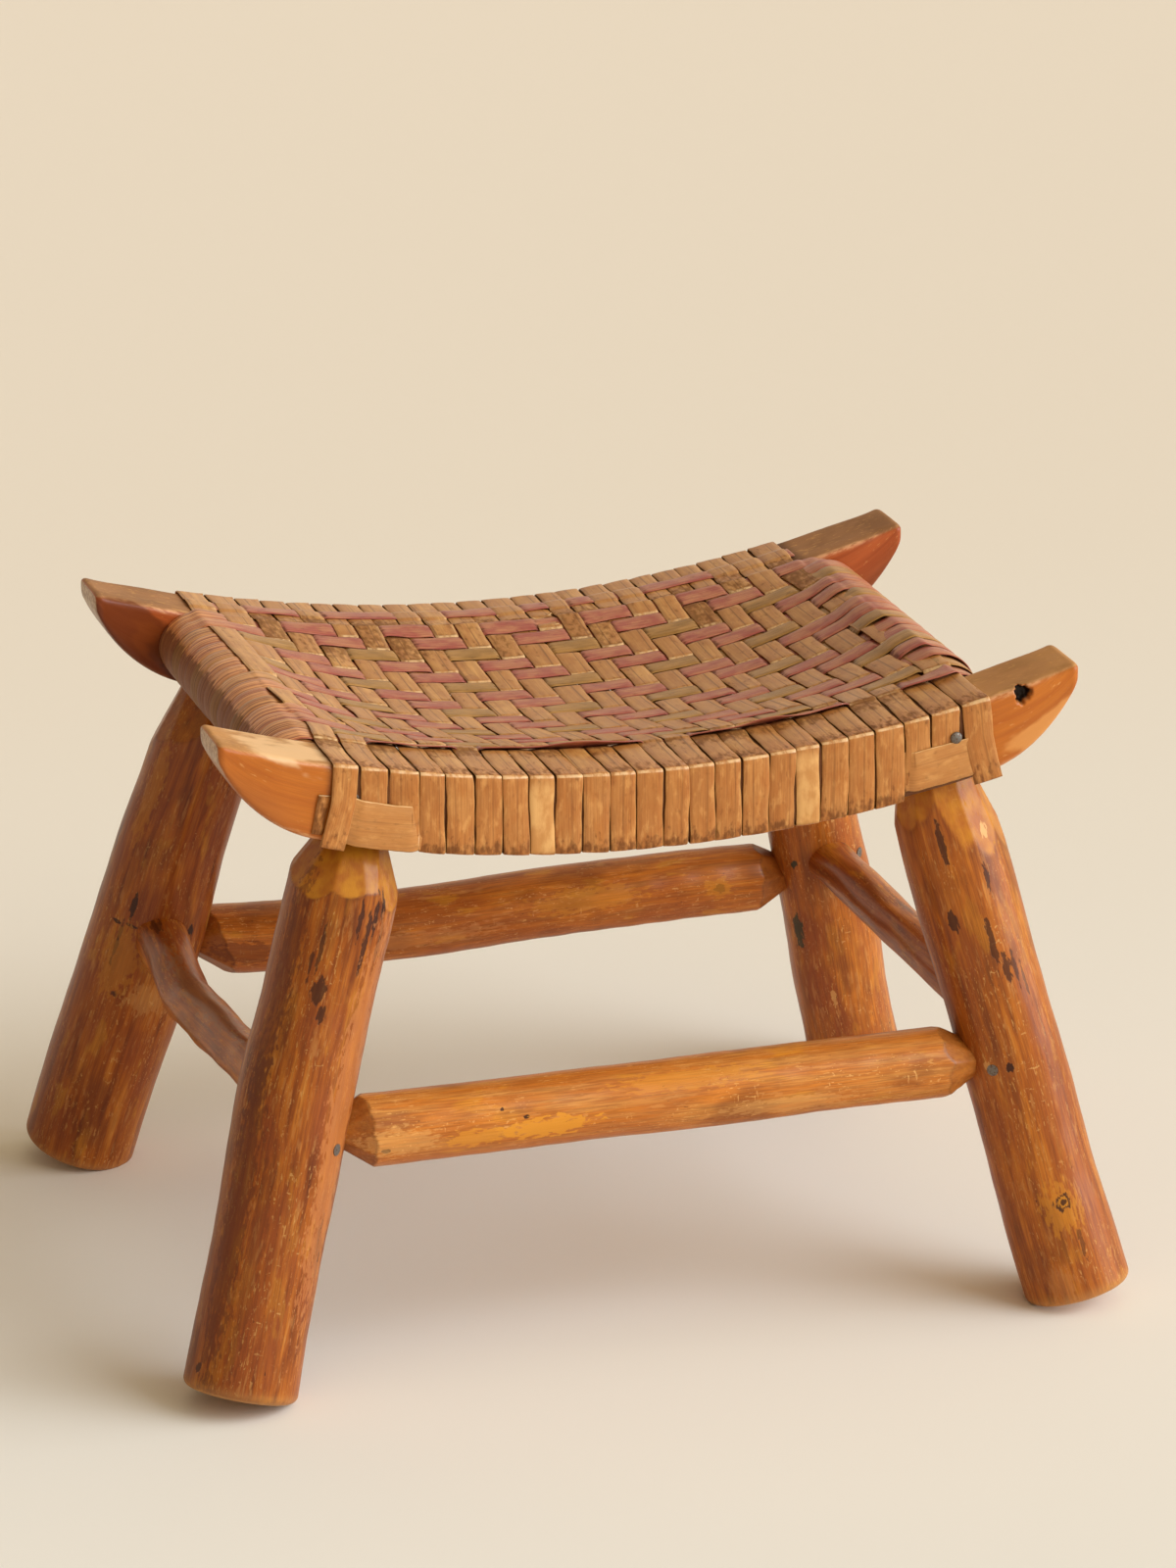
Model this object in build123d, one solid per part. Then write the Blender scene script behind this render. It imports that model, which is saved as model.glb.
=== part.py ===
from build123d import *
from math import asin, cos, degrees, radians, sin, sqrt
import os

# A saddle stool of peeled round wood: two sawn saddle rails with upturned horns, two round end rails
# that the seat is wrapped over, four splayed legs, four stretchers, and a seat of woven wood splints.
# The long rails run along X, the front of the stool faces -Y, and the floor is at Z = 0.
# All lengths are in millimetres and all angles in degrees.

# Clearances between pieces, and the overrun of every cut
wood_gap = 0.3
tenon_gap = 0.2
nail_gap = 0.15
splint_gap = 0.25
layer_gap = 0.1
overrun = 60.0

# Woven splints: warps run front to back round the saddle rails, wefts run along the stool
splint_thickness = 1.0
warp_count = 24
warp_width = 15.1
warp_spacing = 1.4
weave_shift = 4.5
blocked_warps = 3
weft_width = 14.6
weft_spacing = 1.5
back_rail_weft_in = 20.0
seat_sag = 16.0
seat_sag_power = 4
seat_sag_edge = 13.0
wrap_corner_share = 0.65
wrap_chords = 14
tuck_angle = 60.0
cut_end_rise = 3.0
binder_height = 24.0
binder_rise = 2.5

# Saddle rails
rail_outer = 178.0
rail_thickness = 48.0
rail_height = 46.0
rail_edge_round = 3.0
seat_height = 352.0
horn_rise = 41.0
horn_length = 59.0
horn_root = 5.0
horn_belly_in = 18.0
horn_belly_down = 40.0
horn_nose = 12.0
horn_tip_round = 4.0
knot_offset = 23.0
knot_drop = 5.0
knot_mouth_radius = 7.0
knot_floor_radius = 4.5
knot_depth = 9.0

# End rails, round, under the ends of the weave
end_rail_beyond_weave = 3.0
end_rail_radius = 19.5
end_rail_drop = 1.2
end_tenon_radius = 9.0
end_tenon_length = 26.0

# Legs: how far each foot stands outside its head, and how far the leg's top lies inside it, in X and Y
front_left_splay = (82.0, 54.0)
front_left_inset = (5.5, 10.0)
front_left_radius = 32.5
front_right_splay = (78.0, 50.0)
front_right_inset = (0.5, 15.0)
front_right_radius = 30.5
back_left_splay = (85.0, 52.0)
back_left_inset = (4.0, 14.0)
back_left_radius = 33.5
back_right_splay = (79.0, 52.0)
back_right_inset = (1.0, 14.0)
back_right_radius = 30.0
leg_taper = 1.5
foot_chamfer = 5.0
foot_wear = 2.0

# Carved leg heads, and the upright tenons that enter the saddle rails
head_inside_end_rail = 19.0
head_top_radius = 21.0
head_set_in = 8.0
head_length = 26.0
head_flare = 34.0
head_facets = 11
leg_tenon_radius = 10.0
leg_tenon_length = 34.0

# Long stretchers, pointed like pencils at both ends
long_stretcher_height = 151.0
long_stretcher_radius = 21.5
long_tenon_radius = 12.5
front_left_point = 13.5
front_right_point = 16.5
back_left_point = 12.5
back_right_point = 16.0
point_sink = 2.0
point_facets = 10
tenon_short = 8.0

# Side stretchers: a bent branch on the left and a straight pole on the right
side_stretcher_height = 168.0
branch_radius = 15.5
branch_bend_share = 0.32
branch_bend_drop = 15.0
branch_bend_out = 6.0
branch_bend_radius = 150.0
pole_radius = 14.5
side_tenon_radius = 9.5

# Nails
nail_radius = 1.4
nail_length = 30.0
nail_head_radius = 3.5
nail_head_thickness = 1.2
nail_angle = 45.0
leg_nail_rise = 28.0

# The weave repeats every four warps: a weft lies over two and under two, one warp further each row
twill_repeat = 4
twill_over = 2
back_rail_weft = 0
back_rail_weft_over = (2, 3, 5, 6, 7, 10, 11, 13, 15, 18, 19, 20)
front_weft_over = (2, 3, 4, 6, 7, 8, 9, 10, 11, 14, 15, 16, 17, 18, 19, 22, 23)

# Worked out from the sizes above
warp_pitch = warp_width + warp_spacing
weft_pitch = weft_width + weft_spacing
weave_reach = warp_count * warp_pitch / 2
end_rail_offset = weave_reach + end_rail_beyond_weave
rail_half_length = end_rail_offset + horn_length
saddle_radius = (rail_half_length ** 2 + horn_rise ** 2) / (2 * horn_rise)
rail_inner = rail_outer - rail_thickness
rail_middle = rail_outer - rail_thickness / 2
head_offset = end_rail_offset - head_inside_end_rail
seat_wefts = int(2 * rail_inner // weft_pitch)
front_weft = seat_wefts
half_splint = splint_thickness / 2
layer_shift = (splint_thickness + layer_gap) / 2
wrap_corner = rail_edge_round * wrap_corner_share


def top_height(x):
    """Height of a saddle rail's top at x: a circle whose lowest point is at the middle."""
    return seat_height + saddle_radius - sqrt(saddle_radius ** 2 - x ** 2)


def bottom_height(x):
    """Height of a saddle rail's underside at x: a circle about the same centre."""
    return seat_height + saddle_radius - sqrt((saddle_radius + rail_height) ** 2 - x ** 2)


def saddle_slope(x):
    """Slope of the rail's top at x."""
    return x / sqrt(saddle_radius ** 2 - x ** 2)


head_height = bottom_height(head_offset)


def round_between(start, end, start_radius, end_radius):
    """A round bar from one point to another, tapered where the radii differ."""
    run = Vector(*end) - Vector(*start)
    ground = Plane(origin=start, z_dir=run)
    if start_radius == end_radius:
        return Solid.make_cylinder(start_radius, run.length, ground)
    return Solid.make_cone(start_radius, end_radius, run.length, ground)


def faceted_between(start, end, start_radius, end_radius, sides):
    """A bar of flat facets that tapers from one corner radius to another."""
    run = Vector(*end) - Vector(*start)
    low = Plane(origin=start, z_dir=run)
    high = Plane(origin=end, x_dir=low.x_dir, z_dir=run)
    sections = [low * RegularPolygon(start_radius, sides), high * RegularPolygon(end_radius, sides)]
    return loft(sections, ruled=True)


# Legs

def leg_sizes(x_side, y_side, splay, inset, radius):
    """The sizes of one leg: its sides of X and Y, its radius, and its middle at the floor and the rail."""
    foot = Vector(x_side * (head_offset + splay[0]), y_side * (rail_middle + splay[1]), 0)
    top = Vector(x_side * (head_offset - inset[0]), y_side * (rail_middle - inset[1]), head_height)
    return {"x_side": x_side, "y_side": y_side, "foot": foot, "top": top, "radius": radius}


legs = {
    "front_left": leg_sizes(-1, -1, front_left_splay, front_left_inset, front_left_radius),
    "front_right": leg_sizes(1, -1, front_right_splay, front_right_inset, front_right_radius),
    "back_left": leg_sizes(-1, 1, back_left_splay, back_left_inset, back_left_radius),
    "back_right": leg_sizes(1, 1, back_right_splay, back_right_inset, back_right_radius),
}


def leg_point(leg, height):
    """The middle of a leg at a height."""
    return leg["foot"] + (leg["top"] - leg["foot"]) * (height / head_height)


def leg_run(leg):
    """The direction up a leg."""
    return (leg["top"] - leg["foot"]).normalized()


def leg_radius_at(leg, height):
    """A leg's radius at a height: it tapers evenly up to the rail."""
    return leg["radius"] + leg_taper - 2 * leg_taper * height / head_height


def leg_bar(leg, extra):
    """A leg's round bar from its chamfered end to above the rail's underside, grown by extra."""
    run = leg_run(leg)
    lean = sqrt(1 - run.Z ** 2)
    radius = leg_radius_at(leg, 0)
    end = leg_point(leg, (radius - foot_chamfer) * lean - foot_wear)
    ring = end + run * foot_chamfer
    top = leg_point(leg, head_height + head_length)
    chamfer = round_between(end, ring, radius - foot_chamfer + extra, radius + extra)
    return chamfer + round_between(ring, top, radius + extra, leg_radius_at(leg, head_height) + extra)


def head_centre(leg, height):
    """A point on the upright middle line of a leg's head, under the middle of its rail."""
    return Vector(leg["x_side"] * head_offset, leg["y_side"] * rail_middle, height)


def carving_centre(leg, height):
    """The middle of a carving: inside the tenon at the rail, on the leg's middle line lower down."""
    top = head_centre(leg, head_height) - Vector(0, leg["y_side"] * head_set_in, 0)
    shoulder = leg_point(leg, head_height - head_length)
    return top + (shoulder - top) * ((head_height - height) / head_length)


def head_envelope(leg):
    """The space that a leg may fill: a faceted taper up to the rail, and everything lower down."""
    slope = (leg_radius_at(leg, head_height - head_length) - head_top_radius) / head_length
    low = head_height - head_length - head_flare
    high = head_height + head_length
    low_radius = head_top_radius + slope * (head_length + head_flare)
    high_radius = head_top_radius - slope * head_length
    start, end = carving_centre(leg, low), carving_centre(leg, high)
    taper = faceted_between(start, end, low_radius, high_radius, head_facets)
    middle = leg_point(leg, low / 2)
    below = Pos(middle.X, middle.Y, (low - overrun) / 2) * Box(seat_height, seat_height, low + overrun)
    return taper + below


def over_rail_space():
    """Everything above the underside of the saddle rails, less a gap."""
    side_height = bottom_height(rail_half_length) - wood_gap
    high = seat_height + rail_height + overrun
    left, right = (-rail_half_length, side_height), (rail_half_length, side_height)
    edges = [
        ThreePointArc(left, (0, bottom_height(0) - wood_gap), right),
        Polyline(right, (rail_half_length, high), (-rail_half_length, high), left),
    ]
    plane = Plane.XZ.offset(-(rail_outer + overrun))
    return extrude(plane * make_face(edges), amount=2 * (rail_outer + overrun))


def leg_tenon(leg, extra):
    """The upright tenon on a leg's head, grown by extra for its mortise."""
    low = head_centre(leg, head_height - head_length / 2)
    high = head_centre(leg, head_height + leg_tenon_length + extra)
    return round_between(low, high, leg_tenon_radius + extra, leg_tenon_radius + extra)


# Stretchers

def stretcher_ends(first, second, height):
    """The points where a stretcher's middle line meets the middle lines of its two legs."""
    return leg_point(legs[first], height), leg_point(legs[second], height)


def round_tenon(leg_middle, toward, leg, radius, extra):
    """A tenon that stops short of a leg's middle line, grown by extra for its socket."""
    along = (toward - leg_middle).normalized()
    deep = leg_middle + along * (tenon_short - extra)
    out = leg_middle + along * (leg["radius"] + tenon_short)
    return round_between(deep, out, radius + extra, radius + extra)


def pointed_end(leg_middle, toward, leg, point_length):
    """A stretcher's pencil point, from its shoulder to just inside the leg."""
    along = (toward - leg_middle).normalized()
    start = leg_middle + along * (leg["radius"] + point_length)
    end = leg_middle + along * (leg["radius"] - point_sink)
    return faceted_between(start, end, long_stretcher_radius, long_tenon_radius, point_facets)


def long_stretcher(first, second, first_point, second_point):
    """A long stretcher: a round bar, two faceted points scribed to the legs, and two tenons."""
    start, end = stretcher_ends(first, second, long_stretcher_height)
    along = (end - start).normalized()
    first_shoulder = start + along * (legs[first]["radius"] + first_point)
    second_shoulder = end - along * (legs[second]["radius"] + second_point)
    bar = round_between(first_shoulder, second_shoulder, long_stretcher_radius, long_stretcher_radius)
    bar += pointed_end(start, end, legs[first], first_point)
    bar += pointed_end(end, start, legs[second], second_point)
    for name in (first, second):
        bar -= leg_bar(legs[name], wood_gap)
    bar += round_tenon(start, end, legs[first], long_tenon_radius, 0)
    bar += round_tenon(end, start, legs[second], long_tenon_radius, 0)
    return bar


def branch_bend():
    """Where the bent branch turns: nearer its back leg, below and outside the straight line."""
    start, end = stretcher_ends("back_left", "front_left", side_stretcher_height)
    return start + (end - start) * branch_bend_share + Vector(-branch_bend_out, 0, -branch_bend_drop)


def branch_stretcher():
    """The left stretcher: a natural branch with one bend, scribed to both legs."""
    start, end = stretcher_ends("back_left", "front_left", side_stretcher_height)
    bend = branch_bend()
    from_start = (bend - start).normalized()
    from_end = (bend - end).normalized()
    first = start + from_start * (tenon_short + side_tenon_radius)
    last = end + from_end * (tenon_short + side_tenon_radius)
    path = FilletPolyline(first, bend, last, radius=branch_bend_radius)
    section = Plane(origin=first, z_dir=from_start) * Circle(branch_radius)
    bar = sweep(section, path=path)
    for name in ("back_left", "front_left"):
        bar -= leg_bar(legs[name], wood_gap)
    bar += round_tenon(start, bend, legs["back_left"], side_tenon_radius, 0)
    bar += round_tenon(end, bend, legs["front_left"], side_tenon_radius, 0)
    return bar


def pole_stretcher():
    """The right stretcher: a straight pole, scribed to both legs."""
    start, end = stretcher_ends("back_right", "front_right", side_stretcher_height)
    along = (end - start).normalized()
    inset = tenon_short + side_tenon_radius
    bar = round_between(start + along * inset, end - along * inset, pole_radius, pole_radius)
    for name in ("back_right", "front_right"):
        bar -= leg_bar(legs[name], wood_gap)
    bar += round_tenon(start, end, legs["back_right"], side_tenon_radius, 0)
    bar += round_tenon(end, start, legs["front_right"], side_tenon_radius, 0)
    return bar


def stretcher_tenons():
    """Every stretcher tenon: its stretcher, leg, middle of the leg there, heading point and radius."""
    found = []
    for side in ("front", "back"):
        stretcher, first, second = f"{side}_stretcher", f"{side}_left", f"{side}_right"
        start, end = stretcher_ends(first, second, long_stretcher_height)
        found.append((stretcher, first, start, end, long_tenon_radius))
        found.append((stretcher, second, end, start, long_tenon_radius))
    start, end = stretcher_ends("back_left", "front_left", side_stretcher_height)
    found.append(("left_stretcher", "back_left", start, branch_bend(), side_tenon_radius))
    found.append(("left_stretcher", "front_left", end, branch_bend(), side_tenon_radius))
    start, end = stretcher_ends("back_right", "front_right", side_stretcher_height)
    found.append(("right_stretcher", "back_right", start, end, side_tenon_radius))
    found.append(("right_stretcher", "front_right", end, start, side_tenon_radius))
    return found


# Nails

def nail(head_point, inward, extra):
    """A nail whose head is flush with head_point or, grown by extra, its open hole."""
    mouth = nail_head_radius if extra else 0
    outside = head_point - inward * mouth
    seat = head_point + inward * (nail_head_thickness + extra)
    tip = head_point + inward * (nail_length + extra)
    head_radius, shank_radius = nail_head_radius + extra, nail_radius + extra
    head = round_between(outside, seat, head_radius, head_radius)
    return head + round_between(head_point, tip, shank_radius, shank_radius)


def leg_nail(leg, extra):
    """The nail through a saddle rail's outer face into a leg's tenon."""
    side = leg["y_side"]
    height = head_height + leg_nail_rise
    return nail(Vector(leg["x_side"] * head_offset, side * rail_outer, height), Vector(0, -side, 0), extra)


def stretcher_nail(name, middle, toward, extra):
    """The nail through a leg into a stretcher's tenon, slanted between the stretcher and the outside."""
    leg = legs[name]
    run = leg_run(leg)
    along = toward - middle
    along = (along - run * along.dot(run)).normalized()
    across = run.cross(along).normalized()
    if across.dot(Vector(leg["x_side"], leg["y_side"], 0)) < 0:
        across = across * -1
    outward = along * cos(radians(nail_angle)) + across * sin(radians(nail_angle))
    return nail(middle + outward * leg_radius_at(leg, middle.Z), outward * -1, extra)


# Saddle rails and end rails

def saddle_rail_blank():
    """The front saddle rail before its mortises: a curved bar with upturned, blunt horns."""
    root_x = end_rail_offset + horn_root
    tip_height = top_height(rail_half_length)
    nose_height = tip_height - horn_nose
    root_height = bottom_height(root_x)
    belly_x, belly_height = rail_half_length - horn_belly_in, tip_height - horn_belly_down
    edges = [
        ThreePointArc((-rail_half_length, tip_height), (0, seat_height), (rail_half_length, tip_height)),
        Line((rail_half_length, tip_height), (rail_half_length, nose_height)),
        ThreePointArc((rail_half_length, nose_height), (belly_x, belly_height), (root_x, root_height)),
        ThreePointArc((root_x, root_height), (0, bottom_height(0)), (-root_x, root_height)),
        ThreePointArc((-root_x, root_height), (-belly_x, belly_height), (-rail_half_length, nose_height)),
        Line((-rail_half_length, nose_height), (-rail_half_length, tip_height)),
    ]
    outline = make_face(edges)
    corners = outline.vertices().sort_by(Axis.Y)[-4:]
    outline = fillet(corners, radius=horn_tip_round)
    bar = extrude(Plane.XZ.offset(rail_inner) * outline, amount=rail_thickness)
    return fillet(bar.faces().filter_by(Axis.Y).edges(), radius=rail_edge_round)


def end_rail_centre(x_side):
    """The middle line of an end rail, in X and Z."""
    return x_side * end_rail_offset, top_height(end_rail_offset) - end_rail_drop - end_rail_radius


def end_rail_tenon(x_side, y_side, extra):
    """An end rail's tenon into one saddle rail, grown by extra for its mortise."""
    x, z = end_rail_centre(x_side)
    start = (x, y_side * (rail_inner - end_tenon_length), z)
    end = (x, y_side * (rail_inner + end_tenon_length + extra), z)
    return round_between(start, end, end_tenon_radius + extra, end_tenon_radius + extra)


def end_rail(x_side):
    """A round end rail with a tenon at each end."""
    x, z = end_rail_centre(x_side)
    half = rail_inner - wood_gap
    bar = round_between((x, -half, z), (x, half, z), end_rail_radius, end_rail_radius)
    return bar + end_rail_tenon(x_side, -1, 0) + end_rail_tenon(x_side, 1, 0)


def knot_hole():
    """The open knot in the front rail's right horn."""
    x = end_rail_offset + knot_offset
    z = top_height(x) - knot_drop - knot_mouth_radius
    mouth, floor = (x, -rail_outer, z), (x, knot_depth - rail_outer, z)
    return round_between(mouth, floor, knot_mouth_radius, knot_floor_radius)


def saddle_rail(y_side):
    """A saddle rail with its mortises for two leg tenons, two nails and two end rails."""
    rail = saddle_rail_blank()
    if y_side > 0:
        rail = mirror(rail, about=Plane.XZ)
    else:
        rail -= knot_hole()
    for leg in legs.values():
        if leg["y_side"] == y_side:
            rail -= leg_tenon(leg, tenon_gap)
            rail -= leg_nail(leg, nail_gap)
    for x_side in (-1, 1):
        rail -= end_rail_tenon(x_side, y_side, tenon_gap)
    return rail


def finished_leg(name):
    """A leg: bar, carved head, tenon, worn foot, and sockets for its stretchers and nails."""
    leg = legs[name]
    solid = leg_bar(leg, 0) & head_envelope(leg)
    solid -= over_rail_space()
    solid += leg_tenon(leg, 0)
    solid -= Pos(leg["foot"].X, leg["foot"].Y, -overrun / 2) * Box(2 * overrun, 2 * overrun, overrun)
    solid -= leg_nail(leg, nail_gap)
    for _, leg_name, middle, toward, radius in stretcher_tenons():
        if leg_name == name:
            solid -= round_tenon(middle, toward, leg, radius, tenon_gap)
            solid -= stretcher_nail(name, middle, toward, nail_gap)
    return solid


# The weave

def warp_place(warp):
    """The middle of a warp along X."""
    return weave_shift + (warp - (warp_count - 1) / 2) * warp_pitch


def weft_place(weft):
    """The middle of a weft along Y: one lies on the back rail, the others between the rails."""
    if weft == back_rail_weft:
        return rail_inner + back_rail_weft_in
    return ((seat_wefts + 1) / 2 - weft) * weft_pitch


def weft_is_over(warp, weft):
    """Whether a weft lies over a warp in the top of the seat."""
    if weft == back_rail_weft:
        return warp in back_rail_weft_over
    if weft == front_weft:
        return warp in front_weft_over
    return (warp - weft) % twill_repeat >= twill_over


def warp_is_inside(warp, weft):
    """Whether a warp lies above a weft in the underside of the seat."""
    return (warp + weft) % twill_repeat < twill_over


def sag(warp, weft):
    """How far the seat hangs below the rails where a warp and a weft cross."""
    across = max(0, 1 - (weft_place(weft) / rail_inner) ** 2)
    along = max(0, 1 - abs(warp_place(warp) / (weave_reach - seat_sag_edge)) ** seat_sag_power)
    return seat_sag * across * along


def top_middle(warp, weft):
    """Height halfway between the two layers of the seat's top where a warp and a weft cross."""
    return top_height(warp_place(warp)) + splint_gap + splint_thickness + layer_gap / 2 - sag(warp, weft)


def return_middle(warp):
    """Height halfway between the two layers of the seat's underside at a warp."""
    return bottom_height(warp_place(warp)) - splint_gap - splint_thickness - layer_gap / 2


def is_blocked(warp):
    """Whether a leg's head stands in a warp's way under the rail."""
    return warp < blocked_warps or warp >= warp_count - blocked_warps


def has_return(weft):
    """Whether a weft comes back along the underside, clear of the leg heads."""
    return back_rail_weft + 1 < weft < front_weft


def merged(points):
    """The points of a path without repeats."""
    kept = [points[0]]
    for point in points[1:]:
        if abs(point[0] - kept[-1][0]) + abs(point[1] - kept[-1][1]) > layer_gap / 2:
            kept.append(point)
    return kept


def moved_sideways(points, distance, closed):
    """A path moved sideways by a distance, with mitred corners."""
    count = len(points)
    moved = []
    for index, (u, v) in enumerate(points):
        normals = []
        for first in (index - 1, index):
            if closed or 0 <= first < count - 1:
                start, end = points[first % count], points[(first + 1) % count]
                run = sqrt((end[0] - start[0]) ** 2 + (end[1] - start[1]) ** 2)
                normals.append(((start[1] - end[1]) / run, (end[0] - start[0]) / run))
        (a, b), (c, d) = normals[0], normals[-1]
        spread = 1 + a * c + b * d
        moved.append((u + distance * (a + c) / spread, v + distance * (b + d) / spread))
    return moved


def splint(points, closed, place, width_run):
    """A splint: a band along a flat path, put in space by place and drawn out along width_run."""
    points = merged(points)
    sides = [moved_sideways(points, distance, closed) for distance in (half_splint, -half_splint)]
    outlines = sides if closed else [sides[0] + sides[1][::-1]]
    wires = [Wire.make_polygon([place(*point) for point in outline], close=True) for outline in outlines]
    wires.sort(key=lambda wire: Face(wire).area, reverse=True)
    return Solid.extrude(Face(wires[0], wires[1:]), width_run)


def weft_edges(weft):
    """The front and back edges, along Y, of the strip of seat that a weft takes up."""
    return weft_place(weft) - weft_pitch / 2, weft_place(weft) + weft_pitch / 2


def warp_over_path(warp):
    """A warp's path over both rails in Y and Z, from front to back, stepping over and under the wefts."""
    wall = rail_outer + splint_gap + half_splint
    on_rail = top_height(warp_place(warp)) + splint_gap + half_splint
    path = [(-wall, on_rail - wrap_corner), (wrap_corner - wall, on_rail)]
    for group in (range(front_weft, back_rail_weft, -1), [back_rail_weft]):
        path.append((weft_edges(group[0])[0], on_rail))
        for weft in group:
            level = top_middle(warp, weft) + (-layer_shift if weft_is_over(warp, weft) else layer_shift)
            path += [(edge, level) for edge in weft_edges(weft)]
        path.append((weft_edges(group[-1])[1], on_rail))
    return path + [(wall - wrap_corner, on_rail), (wall, on_rail - wrap_corner)]


def warp_return_path(warp):
    """A warp's path back under both rails in Y and Z, from back to front."""
    wall = rail_outer + splint_gap + half_splint
    under_rail = bottom_height(warp_place(warp)) - splint_gap - half_splint
    returning = [weft for weft in range(front_weft) if has_return(weft)]
    path = [(wall, under_rail + wrap_corner), (wall - wrap_corner, under_rail)]
    path.append((weft_edges(returning[0])[1], under_rail))
    for weft in returning:
        level = return_middle(warp) + (layer_shift if warp_is_inside(warp, weft) else -layer_shift)
        path += [(edge, level) for edge in reversed(weft_edges(weft))]
    path.append((weft_edges(returning[-1])[0], under_rail))
    return path + [(wrap_corner - wall, under_rail), (-wall, under_rail + wrap_corner)]


def warp_splint(warp):
    """One warp, tilted with the saddle's slope, closed under the seat unless a leg is in its way."""
    x = warp_place(warp)
    slope = saddle_slope(x)
    start = x - warp_width / 2
    lift = -slope * warp_width / 2
    path = warp_over_path(warp)
    if is_blocked(warp):
        low = bottom_height(x) + cut_end_rise
        path = [(path[0][0], low)] + path + [(path[-1][0], low)]
    else:
        path += warp_return_path(warp)
    width_run = Vector(warp_width, 0, slope * warp_width)
    return splint(path, not is_blocked(warp), lambda y, z: (start, y, z + lift), width_run)


def end_wrap(x_side, upper_x, last_angle):
    """A weft's path round an end rail, from its top at upper_x, outside it, to last_angle below."""
    x, z = end_rail_centre(x_side)
    radius = end_rail_radius + splint_gap + half_splint
    first_angle = degrees(asin((upper_x - x) * x_side / radius))
    points = []
    for step in range(wrap_chords + 1):
        angle = radians(first_angle + (last_angle - first_angle) * step / wrap_chords)
        points.append((x + x_side * radius * sin(angle), z + radius * cos(angle)))
    return points


def crossing_edges(warp, level):
    """The left and right edges, in X and Z, of a weft's stretch over or under one warp."""
    x, half = warp_place(warp), warp_pitch / 2
    lift = saddle_slope(x) * half
    return [(x - half, level - lift), (x + half, level + lift)]


def weft_over_path(weft):
    """A weft's path over the seat in X and Z, from left to right."""
    path = []
    for warp in range(warp_count):
        level = top_middle(warp, weft) + (layer_shift if weft_is_over(warp, weft) else -layer_shift)
        path += crossing_edges(warp, level)
    return path


def weft_return_path(weft):
    """A weft's path under the seat in X and Z, from right to left, between the leg heads."""
    path = []
    for warp in reversed(range(blocked_warps, warp_count - blocked_warps)):
        level = return_middle(warp) + (-layer_shift if warp_is_inside(warp, weft) else layer_shift)
        path += crossing_edges(warp, level)[::-1]
    return path


def weft_splint(weft):
    """One weft, flat across its width: open on the back rail, tucked or closed round the end rails."""
    start = weft_place(weft) - weft_width / 2
    path = weft_over_path(weft)
    if weft != back_rail_weft:
        last_angle = 180 if has_return(weft) else 180 - tuck_angle
        path = end_wrap(-1, path[0][0], last_angle)[::-1] + path + end_wrap(1, path[-1][0], last_angle)
    if has_return(weft):
        path += weft_return_path(weft)
    return splint(path, has_return(weft), lambda x, z: (x, start, z), Vector(0, weft_width, 0))


def binder_splint(x_side, y_side):
    """The short splint across the cut ends of the warps over a leg."""
    outermost = (warp_count - 1) / 2 + x_side * (warp_count - 1) / 2
    low_x, high_x = sorted((warp_place(outermost), warp_place(outermost - x_side * (blocked_warps - 1))))
    low_x, high_x = low_x - warp_width / 2, high_x + warp_width / 2
    middle_x = (low_x + high_x) / 2
    slope = saddle_slope(middle_x)
    y = y_side * (rail_outer + splint_gap + splint_thickness + layer_gap + half_splint)
    low = bottom_height(middle_x) + binder_rise + (low_x - middle_x) * slope
    width_run = Vector(high_x - low_x, 0, slope * (high_x - low_x))
    return splint([(y, low), (y, low + binder_height)], False, lambda v, z: (low_x, v, z), width_run)


# The whole stool

def all_pieces():
    """Every node of the stool with its solid or solids, in the order that it goes together."""
    pieces = {
        "front_saddle_rail": saddle_rail(-1),
        "back_saddle_rail": saddle_rail(1),
        "left_end_rail": end_rail(-1),
        "right_end_rail": end_rail(1),
    }
    for name in legs:
        pieces[f"{name}_leg"] = finished_leg(name)
    front_points = (front_left_point, front_right_point)
    back_points = (back_left_point, back_right_point)
    pieces["front_stretcher"] = long_stretcher("front_left", "front_right", *front_points)
    pieces["back_stretcher"] = long_stretcher("back_left", "back_right", *back_points)
    pieces["left_stretcher"] = branch_stretcher()
    pieces["right_stretcher"] = pole_stretcher()
    stretcher_nails = []
    for stretcher, leg_name, middle, toward, _ in stretcher_tenons():
        stretcher_nails.append(stretcher_nail(leg_name, middle, toward, 0))
        pieces[stretcher] -= stretcher_nail(leg_name, middle, toward, nail_gap)
    pieces["stretcher_nails"] = Compound(stretcher_nails)
    pieces["leg_tenon_nails"] = Compound([leg_nail(leg, 0) for leg in legs.values()])
    for warp in range(warp_count):
        pieces[f"warp_splint_{warp + 1:02d}"] = warp_splint(warp)
    for weft in range(front_weft + 1):
        pieces[f"weft_splint_{weft + 1:02d}"] = weft_splint(weft)
    binders = [binder_splint(x_side, y_side) for x_side in (-1, 1) for y_side in (-1, 1)]
    pieces["binder_splints"] = Compound(binders)
    return pieces


def main():
    """Builds the stool, centres it over the origin and writes one STEP for each node."""
    os.makedirs("parts", exist_ok=True)
    pieces = all_pieces()
    boxes = [piece.bounding_box() for piece in pieces.values()]
    centre_x = (min(box.min.X for box in boxes) + max(box.max.X for box in boxes)) / 2
    centre_y = (min(box.min.Y for box in boxes) + max(box.max.Y for box in boxes)) / 2
    for name, piece in pieces.items():
        export_step(Pos(-centre_x, -centre_y, 0) * piece, f"parts/{name}.step")
        print(name, round(piece.volume))


main()
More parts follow.
